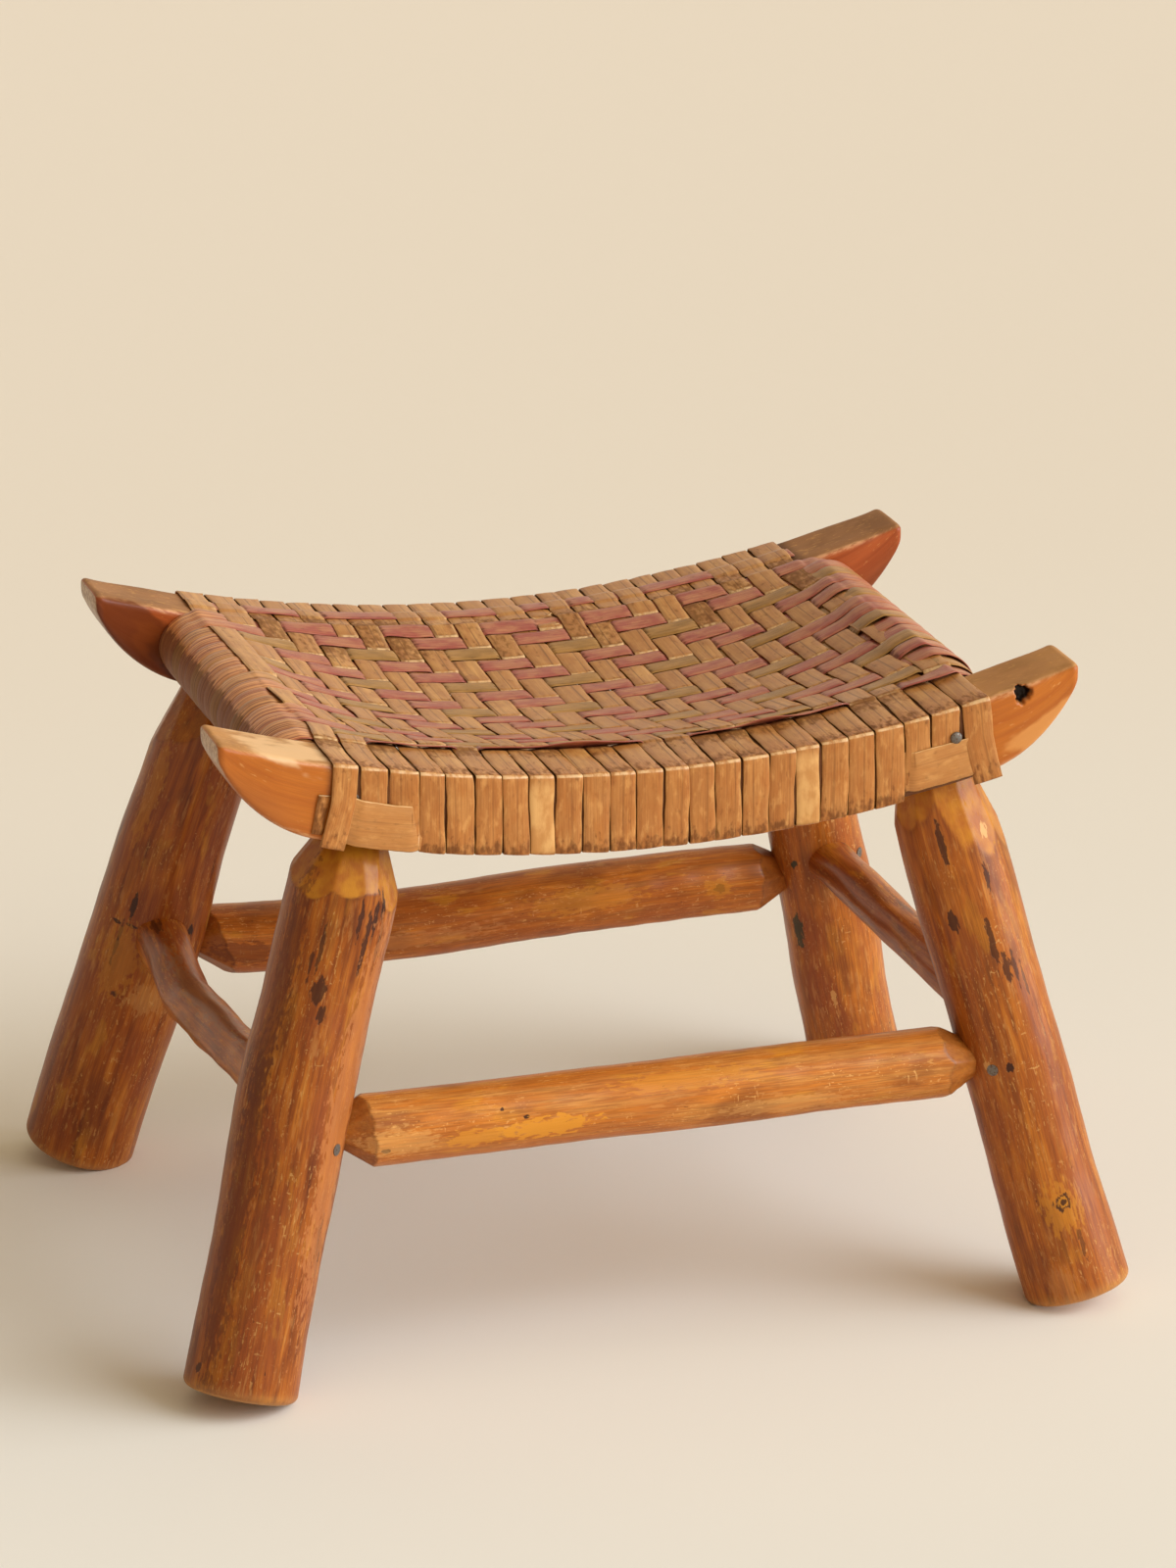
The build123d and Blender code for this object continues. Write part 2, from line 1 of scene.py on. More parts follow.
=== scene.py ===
# %% [markdown]
# This lesson dresses a saddle stool: two sawn rails with upturned horns, splayed legs of peeled round
# wood, stretchers with pencil points and a seat woven from flat wood splints.
# The packed CAD model gives the frame that every piece has to fit, so it is loaded first.
# Lengths are written in millimetres about the middle of the seat, with X along the rails, the front
# towards -Y and the floor at Z = 0, and they are turned into the frame's metres only in a mesh.

# %% Load the frame
import math
import bpy
import numpy as np
from mathutils import Matrix, Vector


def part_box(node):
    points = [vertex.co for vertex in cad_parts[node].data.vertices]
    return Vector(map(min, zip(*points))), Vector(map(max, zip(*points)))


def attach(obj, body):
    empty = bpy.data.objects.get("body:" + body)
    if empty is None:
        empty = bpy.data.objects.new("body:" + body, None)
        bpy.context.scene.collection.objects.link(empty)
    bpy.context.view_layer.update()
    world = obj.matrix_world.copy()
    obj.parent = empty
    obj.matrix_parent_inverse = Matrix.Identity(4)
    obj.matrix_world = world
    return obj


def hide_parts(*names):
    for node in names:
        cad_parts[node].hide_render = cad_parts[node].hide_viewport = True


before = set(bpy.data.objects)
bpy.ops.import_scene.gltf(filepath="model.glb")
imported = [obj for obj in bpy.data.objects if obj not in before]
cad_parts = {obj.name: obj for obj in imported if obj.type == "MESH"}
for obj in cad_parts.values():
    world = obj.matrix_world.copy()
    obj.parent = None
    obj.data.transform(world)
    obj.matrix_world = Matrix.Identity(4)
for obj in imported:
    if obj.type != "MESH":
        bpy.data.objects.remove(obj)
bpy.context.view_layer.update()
front_low, front_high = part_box("front_saddle_rail")
back_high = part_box("back_saddle_rail")[1]
SEAT_MIDDLE = np.array([(front_low.x + front_high.x) / 2, (front_low.y + back_high.y) / 2, 0.0])
print("CAD nodes:", len(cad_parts), "middle of the seat in the frame:", SEAT_MIDDLE.round(4))

# %% [markdown]
# The rails follow two circles about one centre high above the seat, one for the top and one for the
# underside. Every warp, weft and leg refers to these two curves, so they come before any piece.

# %% The saddle's curves
SEAT_HEIGHT, HORN_RISE, HALF_LENGTH = 352.0, 41.0, 260.0
RAIL_OUTER, RAIL_INNER, RAIL_HEIGHT = 178.0, 130.0, 46.0
RAIL_MIDDLE, RAIL_HALF = (RAIL_OUTER + RAIL_INNER) / 2, (RAIL_OUTER - RAIL_INNER) / 2
SADDLE_RADIUS = (HALF_LENGTH ** 2 + HORN_RISE ** 2) / (2 * HORN_RISE)
END_RAIL_X, END_RAIL_RADIUS, END_RAIL_DROP = 201.0, 19.5, 1.2
SAG_DEPTH, SAG_REACH = 16.0, 187.0


def circle_height(radius, x):
    """Height at x of a circle about the saddle's centre: the centre's height less sqrt(radius^2 - x^2)."""
    return SEAT_HEIGHT + SADDLE_RADIUS - np.sqrt(radius ** 2 - np.asarray(x, float) ** 2)


def rail_top(x):
    """Height of a rail's top."""
    return circle_height(SADDLE_RADIUS, x)


def rail_bottom(x):
    """Height of a rail's underside, on a circle larger by the rail's height."""
    return circle_height(SADDLE_RADIUS + RAIL_HEIGHT, x)


def sag(x, y):
    """How far the weave hangs: a parabola across, times a flat-topped curve along the stool."""
    across = np.maximum(0, 1 - (y / RAIL_INNER) ** 2)
    along = np.maximum(0, 1 - np.abs(x / SAG_REACH) ** 4)
    return SAG_DEPTH * across * along


print("rail top at the middle and at a horn:", rail_top(0), rail_top(HALF_LENGTH).round(1))

# %% [markdown]
# Hand work is never quite regular. Small smooth variations can come from noise textures, but shapes
# need the numbers before any shader runs, so sums of a few sine waves with seeded phases are used.

# %% Seeded variation


def wander(place, seed, length, size=1.0):
    """A smooth random line: four sine waves near one wavelength, with random phases, summed."""
    rng = np.random.default_rng(seed)
    waves = 2 * math.pi / (length * rng.uniform(0.55, 1.9, 4))
    phases, sizes = rng.uniform(0, 2 * math.pi, 4), rng.uniform(0.5, 1.0, 4)
    return size * np.sin(np.multiply.outer(np.asarray(place, float), waves) + phases) @ sizes / 1.7


def lumps(angle, along, seed, length, size):
    """Uneven wood: sine waves that turn a whole number of times round the pole and run along it."""
    rng = np.random.default_rng(seed)
    total = 0.0
    for turns in (1, 2, 2, 3, 4, 5):
        wave = 2 * math.pi / (length * rng.uniform(0.5, 2.0)) * rng.choice((-1, 1))
        total = total + np.sin(turns * angle + wave * along + rng.uniform(0, 6.3)) / turns ** 0.5
    return size * total / 2.4


def smooth_step(low, high, value):
    """0 below low, 1 above high, and a smooth cubic between."""
    t = np.clip((value - low) / (high - low), 0, 1)
    return t * t * (3 - 2 * t)


print("wander:", wander([0, 10, 20], 1, 40).round(2))

# %% [markdown]
# Every piece below is a skin: rings of points, one ring for each station along the piece. Neighbouring
# rings are joined by quads and each end is closed with a fan round its middle. Each point also carries
# its own wood coordinates, so that grain follows the piece, and three finish masks between 0 and 2.

# %% From rings of points to a mesh


def skin(name, rings, wood, masks, material, slot, node=None, closed=False):
    """One piece: quads between rings of points, its two ends closed by fans or joined to a loop."""
    stations, around = rings.shape[:2]
    index = np.arange(stations * around).reshape(stations, around)
    beside = np.roll(index, -1, axis=1)
    quads = np.stack([index, beside, np.roll(beside, -1, axis=0), np.roll(index, -1, axis=0)], -1)
    fans = np.zeros((0, 3), int)
    if not closed:
        quads = quads[:-1]
        first, last = np.full(around, index.size), np.full(around, index.size + 1)
        fans = np.concatenate([np.stack([first, beside[0], index[0]], -1),
                               np.stack([last, index[-1], beside[-1]], -1)])
    quads = quads.reshape(-1, 4)

    def per_point(values):
        values = np.asarray(values, float).reshape(stations, around, 3)
        listed = values.reshape(-1, 3)
        return listed if closed else np.vstack([listed, values[0].mean(0), values[-1].mean(0)])

    points = per_point(rings)
    triangles = np.concatenate([quads[:, :3], quads[:, [0, 2, 3]], fans])
    a, b, c = points[triangles].transpose(1, 0, 2)
    if (a * np.cross(b, c)).sum() < 0:
        quads, fans = quads[:, ::-1], fans[:, ::-1]
    mesh = bpy.data.meshes.new(name)
    mesh.from_pydata((points / 1000 + SEAT_MIDDLE).tolist(), [], quads.tolist() + fans.tolist())
    mesh.polygons.foreach_set("use_smooth", np.ones(len(mesh.polygons), bool))
    for title, values in (("wood", wood), ("finish", masks)):
        layer = mesh.attributes.new(title, "FLOAT_VECTOR", "POINT")
        layer.data.foreach_set("vector", per_point(values).astype(np.float32).ravel())
    mesh.materials.append(material)
    piece = bpy.data.objects.new(name, mesh)
    bpy.context.scene.collection.objects.link(piece)
    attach(piece, "root")
    if node:
        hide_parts(node)
    return piece


def ring_grid(stations, around, first=0.0):
    """Every station paired with every angle of one turn: two grids, with one row for each ring."""
    angles = np.linspace(0, 2 * math.pi, around, endpoint=False) + first
    return np.meshgrid(stations, angles, indexing="ij")


def spokes(turn, front, side):
    """Directions out of a pole: cos(turn) * front + sin(turn) * side."""
    return np.cos(turn)[..., None] * front + np.sin(turn)[..., None] * side


def pole_points(middle, direction, distance, turn, grid):
    """Points at middle + direction * distance, with wood coordinates across, across and along."""
    points = middle[:, None] + direction * distance[..., None]
    return points, np.stack([distance * np.cos(turn), distance * np.sin(turn), grid], -1)


def dress(name, node, made, coat, slot):
    """Puts a skin in the place of a CAD node; made holds its rings, wood coordinates and masks."""
    piece = skin(name, *made, coat, slot, node)
    print(piece.name, len(piece.data.polygons), "faces")


print("a quarter turn points to the side:", spokes(np.array([math.pi / 2]), [1, 0, 0], [0, 1, 0]).round(2))

# %% [markdown]
# Shader maths reads best as sums. This small class wraps a socket, so that an expression such as
# (noise - 0.5) * 2 adds the Math nodes itself. Any other node comes from one method that takes the
# node's kind, its inputs and its settings.

# %% Sockets as numbers


class Value:
    """A socket that can be added, subtracted and multiplied."""

    def __init__(self, paint, socket):
        self.paint, self.socket = paint, socket

    def maths(self, operation, *others):
        """One Math node on this value and any others."""
        return self.paint.node("Math", dict(enumerate([self, *others])), operation=operation)

    def __add__(self, other):
        return self.maths("ADD", other)

    def __sub__(self, other):
        return self.maths("SUBTRACT", other)

    def __rsub__(self, other):
        return self.paint.node("Math", {0: other, 1: self}, operation="SUBTRACT")

    def __mul__(self, other):
        return self.maths("MULTIPLY", other)

    def clipped(self):
        """The value held between 0 and 1."""
        return self.maths("MAXIMUM", 0.0).maths("MINIMUM", 1.0)

    def step(self, low, high):
        """0 below low, 1 above high, smooth between; high may be the smaller one."""
        if high < low:
            return 1 - self.step(high, low)
        between = {0: self, 1: low, 2: high}
        return self.paint.node("MapRange", between, interpolation_type="SMOOTHSTEP")


class Paint:
    """A new material, or a world that is handed in, with helpers for its nodes."""

    def __init__(self, name, world=None):
        self.material = world or bpy.data.materials.new(name)
        self.material.use_nodes = True
        self.tree = self.material.node_tree
        self.tree.nodes.clear()

    def node(self, kind, inputs=None, output=0, stops=(), **settings):
        """Adds a shader node of a kind, with settings, a ramp's stops, and values or links for inputs."""
        node = self.tree.nodes.new("ShaderNode" + kind)
        for key, value in settings.items():
            setattr(node, key, value)
        if stops:
            elements = node.color_ramp.elements
            for place, colour in stops:
                elements.new(place).color = (*colour, 1.0)
            elements.remove(elements[0])
            elements.remove(elements[-1])
        for key, value in (inputs or {}).items():
            if isinstance(value, Value):
                self.tree.links.new(value.socket, node.inputs[key])
            elif isinstance(value, tuple) and len(value) == 3 and node.inputs[key].type == "RGBA":
                node.inputs[key].default_value = (*value, 1.0)
            else:
                node.inputs[key].default_value = value
        return Value(self, node.outputs[output]) if len(node.outputs) else None

    def attribute(self, name):
        """A vector that the mesh carries at each point."""
        return self.node("Attribute", output="Vector", attribute_name=name)

    def parts(self, vector):
        """The three numbers of a vector."""
        sockets = self.node("SeparateXYZ", {0: vector}).socket.node.outputs
        return [Value(self, socket) for socket in sockets]

    def stretched(self, vector, scale, shift=(0.0, 0.0, 0.0)):
        """The vector times a scale along each axis, plus a shift."""
        return self.node("Mapping", {"Vector": vector, "Scale": scale, "Location": shift})

    def noise(self, vector, scale, detail=2.0, rough=0.55):
        """Cloudy noise about 0.5 from a vector."""
        inputs = {"Vector": vector, "Scale": scale, "Detail": detail, "Roughness": rough}
        return self.node("TexNoise", inputs)

    def grain(self, vector, size, detail=2.0, shift=(0.0, 0.0, 0.0), rough=0.55):
        """Noise whose lumps have a size along each axis of a vector, in the vector's own unit."""
        scale = tuple(1 / length for length in size)
        return self.noise(self.stretched(vector, scale, shift), 1.0, detail, rough)

    def mix(self, factor, first, second, blend="MIX"):
        """A colour between first and second."""
        inputs = {0: factor, 6: first, 7: second}
        return self.node("Mix", inputs, 2, data_type="RGBA", blend_type=blend)

    def layers(self, colour, *coats):
        """A colour with coats laid over it in turn; each coat is a factor and a tint."""
        for factor, tint in coats:
            colour = self.mix(factor, colour, tint)
        return colour

    def ramp(self, factor, stops):
        """A colour read off a row of stops."""
        return self.node("ValToRGB", {0: factor}, stops=stops)

    def spot(self, vector, place, size, ragged, edge):
        """1 inside an ellipsoid round a place, 0 outside; ragged is noise that breaks up its edge."""
        scale = tuple(1 / length for length in size)
        shift = tuple(-a / b for a, b in zip(place, size))
        moved = self.stretched(vector, scale, shift)
        length = self.node("VectorMath", {0: moved}, "Value", operation="LENGTH")
        return (length + (ragged - 0.5) * 2.6).step(1.0, 1.0 - edge)

    def finish(self, colour, rough, height, depth, specular=0.5, metallic=0.0, coat=None, coat_rough=0.2):
        """The surface shader and its output, bumped by a height times a depth in metres."""
        bump = self.node("Bump", {"Height": height, "Distance": depth, "Strength": 1.0})
        inputs = {"Base Color": colour, "Roughness": rough, "Metallic": metallic,
                  "Specular IOR Level": specular, "Normal": bump}
        if coat is not None:
            inputs.update({"Coat Weight": coat, "Coat Roughness": coat_rough})
        shader = self.node("BsdfPrincipled", inputs)
        self.node("OutputMaterial", {0: shader})
        return self.material


print("shader helpers:", [name for name in vars(Paint) if name[0] != "_"])

# %% [markdown]
# Colours are easiest to choose as 0 to 255 screen numbers, while shaders work in linear light.
# This helper turns one into the other.

# %% Screen colours


def screen(red, green, blue):
    """A linear colour from screen numbers: each is brought to 0..1, then undone from the screen's curve."""
    values = np.array([red, green, blue]) / 255.0
    linear = np.where(values <= 0.04045, values / 12.92, ((values + 0.055) / 1.055) ** 2.4)
    return tuple(float(value) for value in linear)


print("mid orange in linear light:", screen(190, 108, 41))

# %% [markdown]
# The legs and stretchers are peeled poles under an old orange varnish. Real ones show long streaks,
# darker and dustier clouds, yellow patches where the varnish has gone, pale flecks and scratches, and
# a few knots, stains and checks. Each is a layer of noise in the pole's own coordinates: across,
# across and along, in millimetres. Known marks are spots at their places on the pole.

# %% Varnished pole finish
DARK, STAIN, KNOT = screen(104, 48, 22), screen(58, 27, 17), screen(74, 36, 18)
PEELED, PALE, RAW = screen(206, 134, 40), screen(222, 164, 96), screen(206, 152, 90)
POLE_BUMP, POLE_SHINE = 0.00022, 0.12


def pole_finish(name, seed, marks, radius, red, worn, tone=1.0, tan=0.0, head=0.8,
                facets=(screen(206, 132, 34), screen(176, 96, 26))):
    """Varnished pole: streaks, clouds, worn patches, flecks, specks and marks, over a fibrous bump.

    Red, worn, tan and head say how much dusty red, bare yellow, pale varnish and carved tone it shows,
    and tone how light it is all over.
    A mark is (angle, along, width, length, colour, strength) on a pole of that radius."""
    paint = Paint(name)
    wood = paint.attribute("wood")
    carved, end_grain, crease = paint.parts(paint.attribute("finish"))

    def grain(across, along, detail=3.0, place=0.0):
        shift = (seed * 37.0 + place, seed * 11.0 + place, seed * 71.0 + place)
        return paint.grain(wood, (across, across, along), detail, shift)

    streaks, clouds, fibres = grain(4.6, 62, 5.0), grain(26, 60, 3.0, 5.0), grain(0.9, 22, 3.0, 9.0)
    patch = grain(15, 44, 4.0, 14.0).step(0.57, 0.64) * worn
    dry = grain(2.6, 15, 4.0, 17.0).step(0.56, 0.63) * grain(16, 30, 2.0, 19.0).step(0.42, 0.60)
    crowd = grain(24, 40, 2.0, 21.0).step(0.38, 0.60)
    flecks = (grain(1.3, 5.5, 3.0, 26.0).step(0.60, 0.67) * crowd).clipped()
    scratches = paint.grain(wood, (0.7, 9.0, 2.6), 2.0, (seed * 5.0, 3.0, 1.0)).step(0.655, 0.695) * crowd
    specks = grain(1.3, 4.5, 2.0, 33.0).step(0.70, 0.76) * grain(18, 30, 1.0, 39.0).step(0.44, 0.58)
    varnish = paint.ramp(streaks, [
        (0.28, screen(104, 46, 12)), (0.42, screen(152, 74, 18)), (0.53, screen(178, 94, 26)),
        (0.64, screen(194, 112, 36)), (0.76, screen(208, 134, 58))])
    colour = paint.layers(
        varnish, (streaks.step(0.7, 0.3) * tan, screen(214, 144, 70)),
        (clouds.step(0.44, 0.62) * red, screen(150, 72, 32)), (patch, PEELED),
        ((1 - clouds).step(0.54, 0.70) * 0.5, DARK), (fibres.step(0.60, 0.36) * 0.36, DARK),
        (dry * 0.34, screen(208, 142, 78)), (flecks * 0.5, PALE), (scratches * 0.5, PALE),
        (specks * 0.8, STAIN), (carved * head, paint.mix(grain(9, 12, 2.0, 44.0).step(0.3, 0.7), *facets)))
    ragged = grain(2.0, 6.0, 5.0, 50.0)
    across, deep, along = paint.parts(wood)
    outward = paint.node("CombineXYZ", {0: across, 1: deep})
    outward = paint.node("VectorMath", {0: outward}, operation="NORMALIZE")
    lifted = paint.node("CombineXYZ", {2: along})
    shell = paint.node("VectorMath", {0: outward, 1: (radius,) * 3, 2: lifted}, operation="MULTIPLY_ADD")
    pits = None
    for angle, place, width, length, tint, strength in marks:
        turn = math.radians(angle)
        centre = (radius * math.cos(turn), radius * math.sin(turn), place)
        spot = paint.spot(shell, centre, (width, width, length), ragged, 0.22) * strength
        colour = paint.mix(spot, colour, tint)
        if tint in (STAIN, KNOT):
            pits = spot if pits is None else pits.maths("MAXIMUM", spot)
    colour = paint.layers(colour, (end_grain * 0.75, RAW), (crease, screen(46, 24, 14)))
    if tone != 1.0:
        colour = paint.mix(1.0, colour, (tone, tone, tone), "MULTIPLY")
    rough = streaks * 0.16 + 0.34 + flecks * 0.25 + patch * 0.08 + end_grain * 0.3
    height = fibres * 0.5 + streaks * 0.6 - flecks * 0.35 - scratches * 0.3
    if pits is not None:
        height = height - pits * 1.2
    return paint.finish(colour, rough, height, POLE_BUMP, POLE_SHINE, coat=(1 - flecks) * 0.24)


print("pole finish: marks darker than the varnish also dent it by up to", POLE_BUMP * 1.2, "m")

# %% [markdown]
# A leg is a round pole that leans outwards, a little crooked as it grew, cut square at the foot with a
# worn edge, and carved to a blunt cone of flat facets under the rail. Modelling that by hand would take
# many cuts. Seen from the pole's middle line, though, the surface in any direction is simply the
# nearest of the round side and the facets, so one formula gives the whole shape with crisp facet ends.
# Each leg's bends are rows of a height, a shift to the right as the camera sees it, and a swelling.

# %% Leg geometry
HEAD_Y, HEAD_TOP, HEAD_DEPTH, HEAD_FACETS = 146.0, 20.6, 27.0, 11
HEAD_Z = float(rail_bottom(182.0))
HEAD_ABOVE, HEAD_FINE = 11.0, 74.0
FOOT_ROUND, FOOT_WORN, FOOT_SUNK, TAPER = 5.0, 3.5, 2.0, 3.0
VIEW_RIGHT = np.array([0.956, -0.293, 0.0])
LEGS = {
    "front_left": dict(
        foot=(-264, -208), top=(-176.5, -144), radius=32.5, seed=3, head_x=-174.5, head=17.8,
        bends=[
            (0, -0.6, 0), (50, -1.0, -0.6), (103, -1.2, -0.6), (130, -0.6, 0.4), (185, -1.6, 1.7),
            (212, -0.8, 1.5), (240, 1.2, 0.5), (267, 2.3, 1.2), (294, 3.9, 1.6), (330, 3.4, 0.4)]),
    "front_right": dict(
        foot=(260, -204), top=(181.5, -139), radius=30.5, seed=4, head_x=182.0, head=HEAD_TOP,
        bends=[
            (0, 0, 0.2), (48, -1.3, 0.8), (75, -1.6, 0.2), (102, -0.8, -0.1), (129, 0, 0.1),
            (184, 0.2, 0.3), (211, 0, 0.8), (240, -0.2, 1.6), (293, -0.2, 1.8), (325, 0.3, 0.4)]),
    "back_left": dict(
        foot=(-267, 206), top=(-178, 140), radius=33.5, seed=5, head_x=-182.0, head=HEAD_TOP,
        bends=[
            (0, 0, 0), (48, -1.2, 1.2), (75, -1.2, 1.9), (103, -0.3, 2.2), (158, -0.5, 2.4),
            (185, -0.9, 2.1), (213, -2.0, 1.5), (240, -2.9, 1.0), (268, -1.9, 0), (330, -0.8, 0)]),
    "back_right": dict(
        foot=(261, 206), top=(181, 140), radius=30.0, seed=6, head_x=182.0, head=HEAD_TOP,
        bends=[
            (0, 0, -0.6), (48, -0.4, -1.8), (75, -1.4, -0.4), (102, 0, 0.2), (157, 0.4, 0.6),
            (184, -1.0, -0.4), (293, 0.4, 0.6), (330, 0, 0)]),
}


def measured(rows, column, at):
    """Numbers read off at a few places, joined by straight lines and blurred over thirty millimetres."""
    places = np.arange(-90.0, 620.0)
    values = np.interp(places, [row[0] for row in rows], [row[column] for row in rows])
    window = np.hanning(61)
    return np.interp(at, places, np.convolve(values, window / window.sum(), "same"))


def leg_line(leg, height):
    """A point on a leg's straight middle line at a height."""
    foot, top = np.array([*leg["foot"], 0.0]), np.array([*leg["top"], HEAD_Z])
    return foot + (top - foot) * height / HEAD_Z


def pole_axes(start, end):
    """Directions of a pole: towards the front, towards +X, and along it."""
    along = (end - start) / np.linalg.norm(end - start)
    front = np.array([0.0, -1.0, 0.0])
    front = front - along * (front @ along)
    front /= np.linalg.norm(front)
    return front, np.cross(along, front), along


def to_planes(middle, direction, normals, offsets):
    """Distance from each ring's middle along each direction to the nearest plane: (offset - n.c) / (n.d)."""
    facing = direction @ normals.T
    reach = offsets - (middle @ normals.T)[:, None]
    distance = np.where(facing > 1e-6, reach / np.maximum(facing, 1e-6), 1e9)
    return np.clip(distance, 0, None).min(-1)


def facet_angles(rng, count, spread):
    """Where the flat cuts round a pole face: even steps of a turn, each a little off."""
    return np.linspace(0, 2 * math.pi, count, endpoint=False) + rng.uniform(-spread, spread, count)


def leg_rings(leg, around=132):
    """A leg's rings: nearest of the lumpy round side and the carved facets, flattened on the floor."""
    start, end = leg_line(leg, 0), leg_line(leg, HEAD_Z)
    front, side, along = pole_axes(start, end)
    lean, seed, radius = math.sqrt(1 - along[2] ** 2), leg["seed"], leg["radius"]
    low = (leg_line(leg, (radius - FOOT_WORN) * lean - FOOT_SUNK) - start) @ along
    high = (leg_line(leg, HEAD_Z + HEAD_ABOVE) - start) @ along
    head = high - HEAD_FINE
    rounding = low + FOOT_ROUND * (1 - np.cos(np.linspace(0, math.pi / 2, 9)))
    stations = np.concatenate([np.full(5, low), rounding, np.linspace(low + 7, head, 112),
                               np.arange(head + 1.2, high, 1.1)])
    inward = np.ones(len(stations))
    inward[:5] = np.linspace(0.15, 0.93, 5)
    grid, turn = ring_grid(stations, around)
    share = grid / np.linalg.norm(end - start)
    uneven = lumps(turn, grid, seed, 190, 0.55) - 0.2 + lumps(turn, grid, seed + 50, 40, 0.14)
    round_side = radius + TAPER / 2 - TAPER * share + uneven * smooth_step(0.02, 0.2, share)
    round_side = round_side + measured(leg["bends"], 2, stations)[:, None]
    worn = np.clip((FOOT_ROUND - (grid - low)) / FOOT_ROUND, 0, 1)
    round_side = (round_side - FOOT_ROUND * (1 - np.sqrt(1 - worn ** 2))) * inward[:, None]
    middle = start + stations[:, None] * along + measured(leg["bends"], 1, stations)[:, None] * VIEW_RIGHT
    direction = spokes(turn, front, side)
    rng = np.random.default_rng(seed)
    facing = facet_angles(rng, HEAD_FACETS, 0.16)
    facing = np.stack([np.cos(facing), np.sin(facing), 0 * facing], -1)
    anchor = np.array([leg["head_x"], math.copysign(HEAD_Y, start[1]), HEAD_Z])
    depth = HEAD_DEPTH * rng.uniform(0.84, 1.16, HEAD_FACETS)
    shoulder = end + np.outer(depth / HEAD_Z, start - end)
    at_top = facing @ anchor + leg["head"] * rng.uniform(0.96, 1.03, HEAD_FACETS)
    at_side = (facing * shoulder).sum(1) + radius - 0.9
    slope = np.maximum((at_side - at_top) / depth, facing @ (start - end) / HEAD_Z + 0.12)
    normals = facing + np.outer(slope, [0.0, 0.0, 1.0])
    carved = to_planes(middle, direction, normals, at_side + slope * (HEAD_Z - depth))
    points, wood = pole_points(middle, direction, np.minimum(round_side, carved), turn, grid)
    points[..., 2] = np.maximum(points[..., 2], 0.0)
    cut = round_side - carved
    bare, rubbed = smooth_step(low + 3.5, low + 0.5, grid), smooth_step(low + 9, low + 2, grid)
    crease = 0.18 * np.exp(-((cut + 0.2) / 0.35) ** 2)
    masks = [smooth_step(-0.05, 0.35, cut), np.maximum(bare * 0.9, rubbed * 0.45), crease]
    return points, wood, np.stack(masks, -1)


rings = leg_rings(LEGS["front_left"])[0]
print("front left leg reaches from", rings.min((0, 1)).round(1), "to", rings.max((0, 1)).round(1))

# %% [markdown]
# Each leg gets its own marks: a knot with a ring in a yellow patch, nail heads, dark stains and
# checks. On the front left leg, long dark marks down its left side are painted shade and a lighter
# band down its right side is painted light. All marks are written as an angle round the leg, from the
# front towards +X, and a distance up it.

# %% Legs with their marks
YELLOW, GREEN, TAN = screen(204, 130, 38), screen(38, 52, 34), screen(196, 130, 76)
LEG_MARKS = {
    "front_left": [
        (32, 302, 2.2, 9, STAIN, 0.95), (23, 296, 1.8, 15, STAIN, 0.9), (17, 284, 1.8, 20, STAIN, 0.85),
        (6, 292, 1.6, 12, STAIN, 0.8), (36, 280, 1.6, 13, STAIN, 0.85), (-27, 272, 1.3, 14, STAIN, 0.75),
        (-34, 262, 1.2, 10, STAIN, 0.7), (-20, 249, 4.4, 9, STAIN, 0.8), (-12, 236, 2.6, 5, STAIN, 0.8),
        (-69, 22, 2.4, 3, STAIN, 0.85), (44, 108, 1.6, 15, STAIN, 0.85), (50, 96, 1.8, 12, STAIN, 0.75),
        # Long dark marks down the left side are painted shade; the lighter band down the right side is
        # painted light.
        (-58, 120, 9, 120, DARK, 0.6), (-62, 240, 9, 80, DARK, 0.55), (-30, 90, 5, 70, DARK, 0.35),
        (42, 180, 13, 130, screen(208, 128, 72), 0.5)],
    "front_right": [
        (-26, 300, 2.2, 15, STAIN, 0.8), (13, 272, 1.6, 9, STAIN, 0.8), (-37, 253, 3.0, 8, KNOT, 0.9),
        (-2, 232, 2.2, 17, KNOT, 0.85), (6, 217, 2.8, 9, KNOT, 0.85), (16, 214, 1.4, 12, STAIN, 0.7),
        (24, 206, 1.0, 14, STAIN, 0.6), (29, 299, 3.0, 5, PALE, 0.85),
        (-21, 157.5, 2.6, 2.8, STAIN, 0.95), (-46, 162, 3.0, 3.0, PALE, 0.6),
        (-6, 66, 12, 17, YELLOW, 0.5), (-3, 69, 5.2, 5.6, STAIN, 0.9), (-3, 69, 3.4, 3.7, YELLOW, 0.8),
        (-3, 69, 1.9, 2.0, STAIN, 0.9), (4, 42, 1.6, 10, STAIN, 0.55), (-30, 20, 9, 12, TAN, 0.3)],
    "back_left": [
        (31, 187, 2.4, 4.5, STAIN, 0.95), (-38, 196, 2.0, 10, STAIN, 0.9),
        (-44, 168, 1.1, 17, STAIN, 0.95), (-52, 181, 3.8, 1.3, STAIN, 0.9),
        (-34, 183, 4.2, 1.2, STAIN, 0.9), (-31, 135, 2.2, 2.6, STAIN, 0.8),
        (-36, 158, 12, 26, YELLOW, 0.45), (4, 136, 14, 11, PALE, 0.25), (-60, 272, 7, 40, YELLOW, 0.35)],
    "back_right": [
        (-49, 183, 2.3, 3.0, GREEN, 0.9), (-62, 130, 4.0, 16, GREEN, 0.85), (-28, 78, 2.2, 7, PALE, 0.6)],
}
LEG_LOOK = {"front_left": (0.70, 0.30, 0.80, 0.0, 0.95), "front_right": (0.45, 0.32, 0.95, 0.10, 0.7),
            "back_left": (0.65, 0.50, 0.79, 0.0, 0.25), "back_right": (0.7, 0.30, 1.0, 0.25, 0.25)}
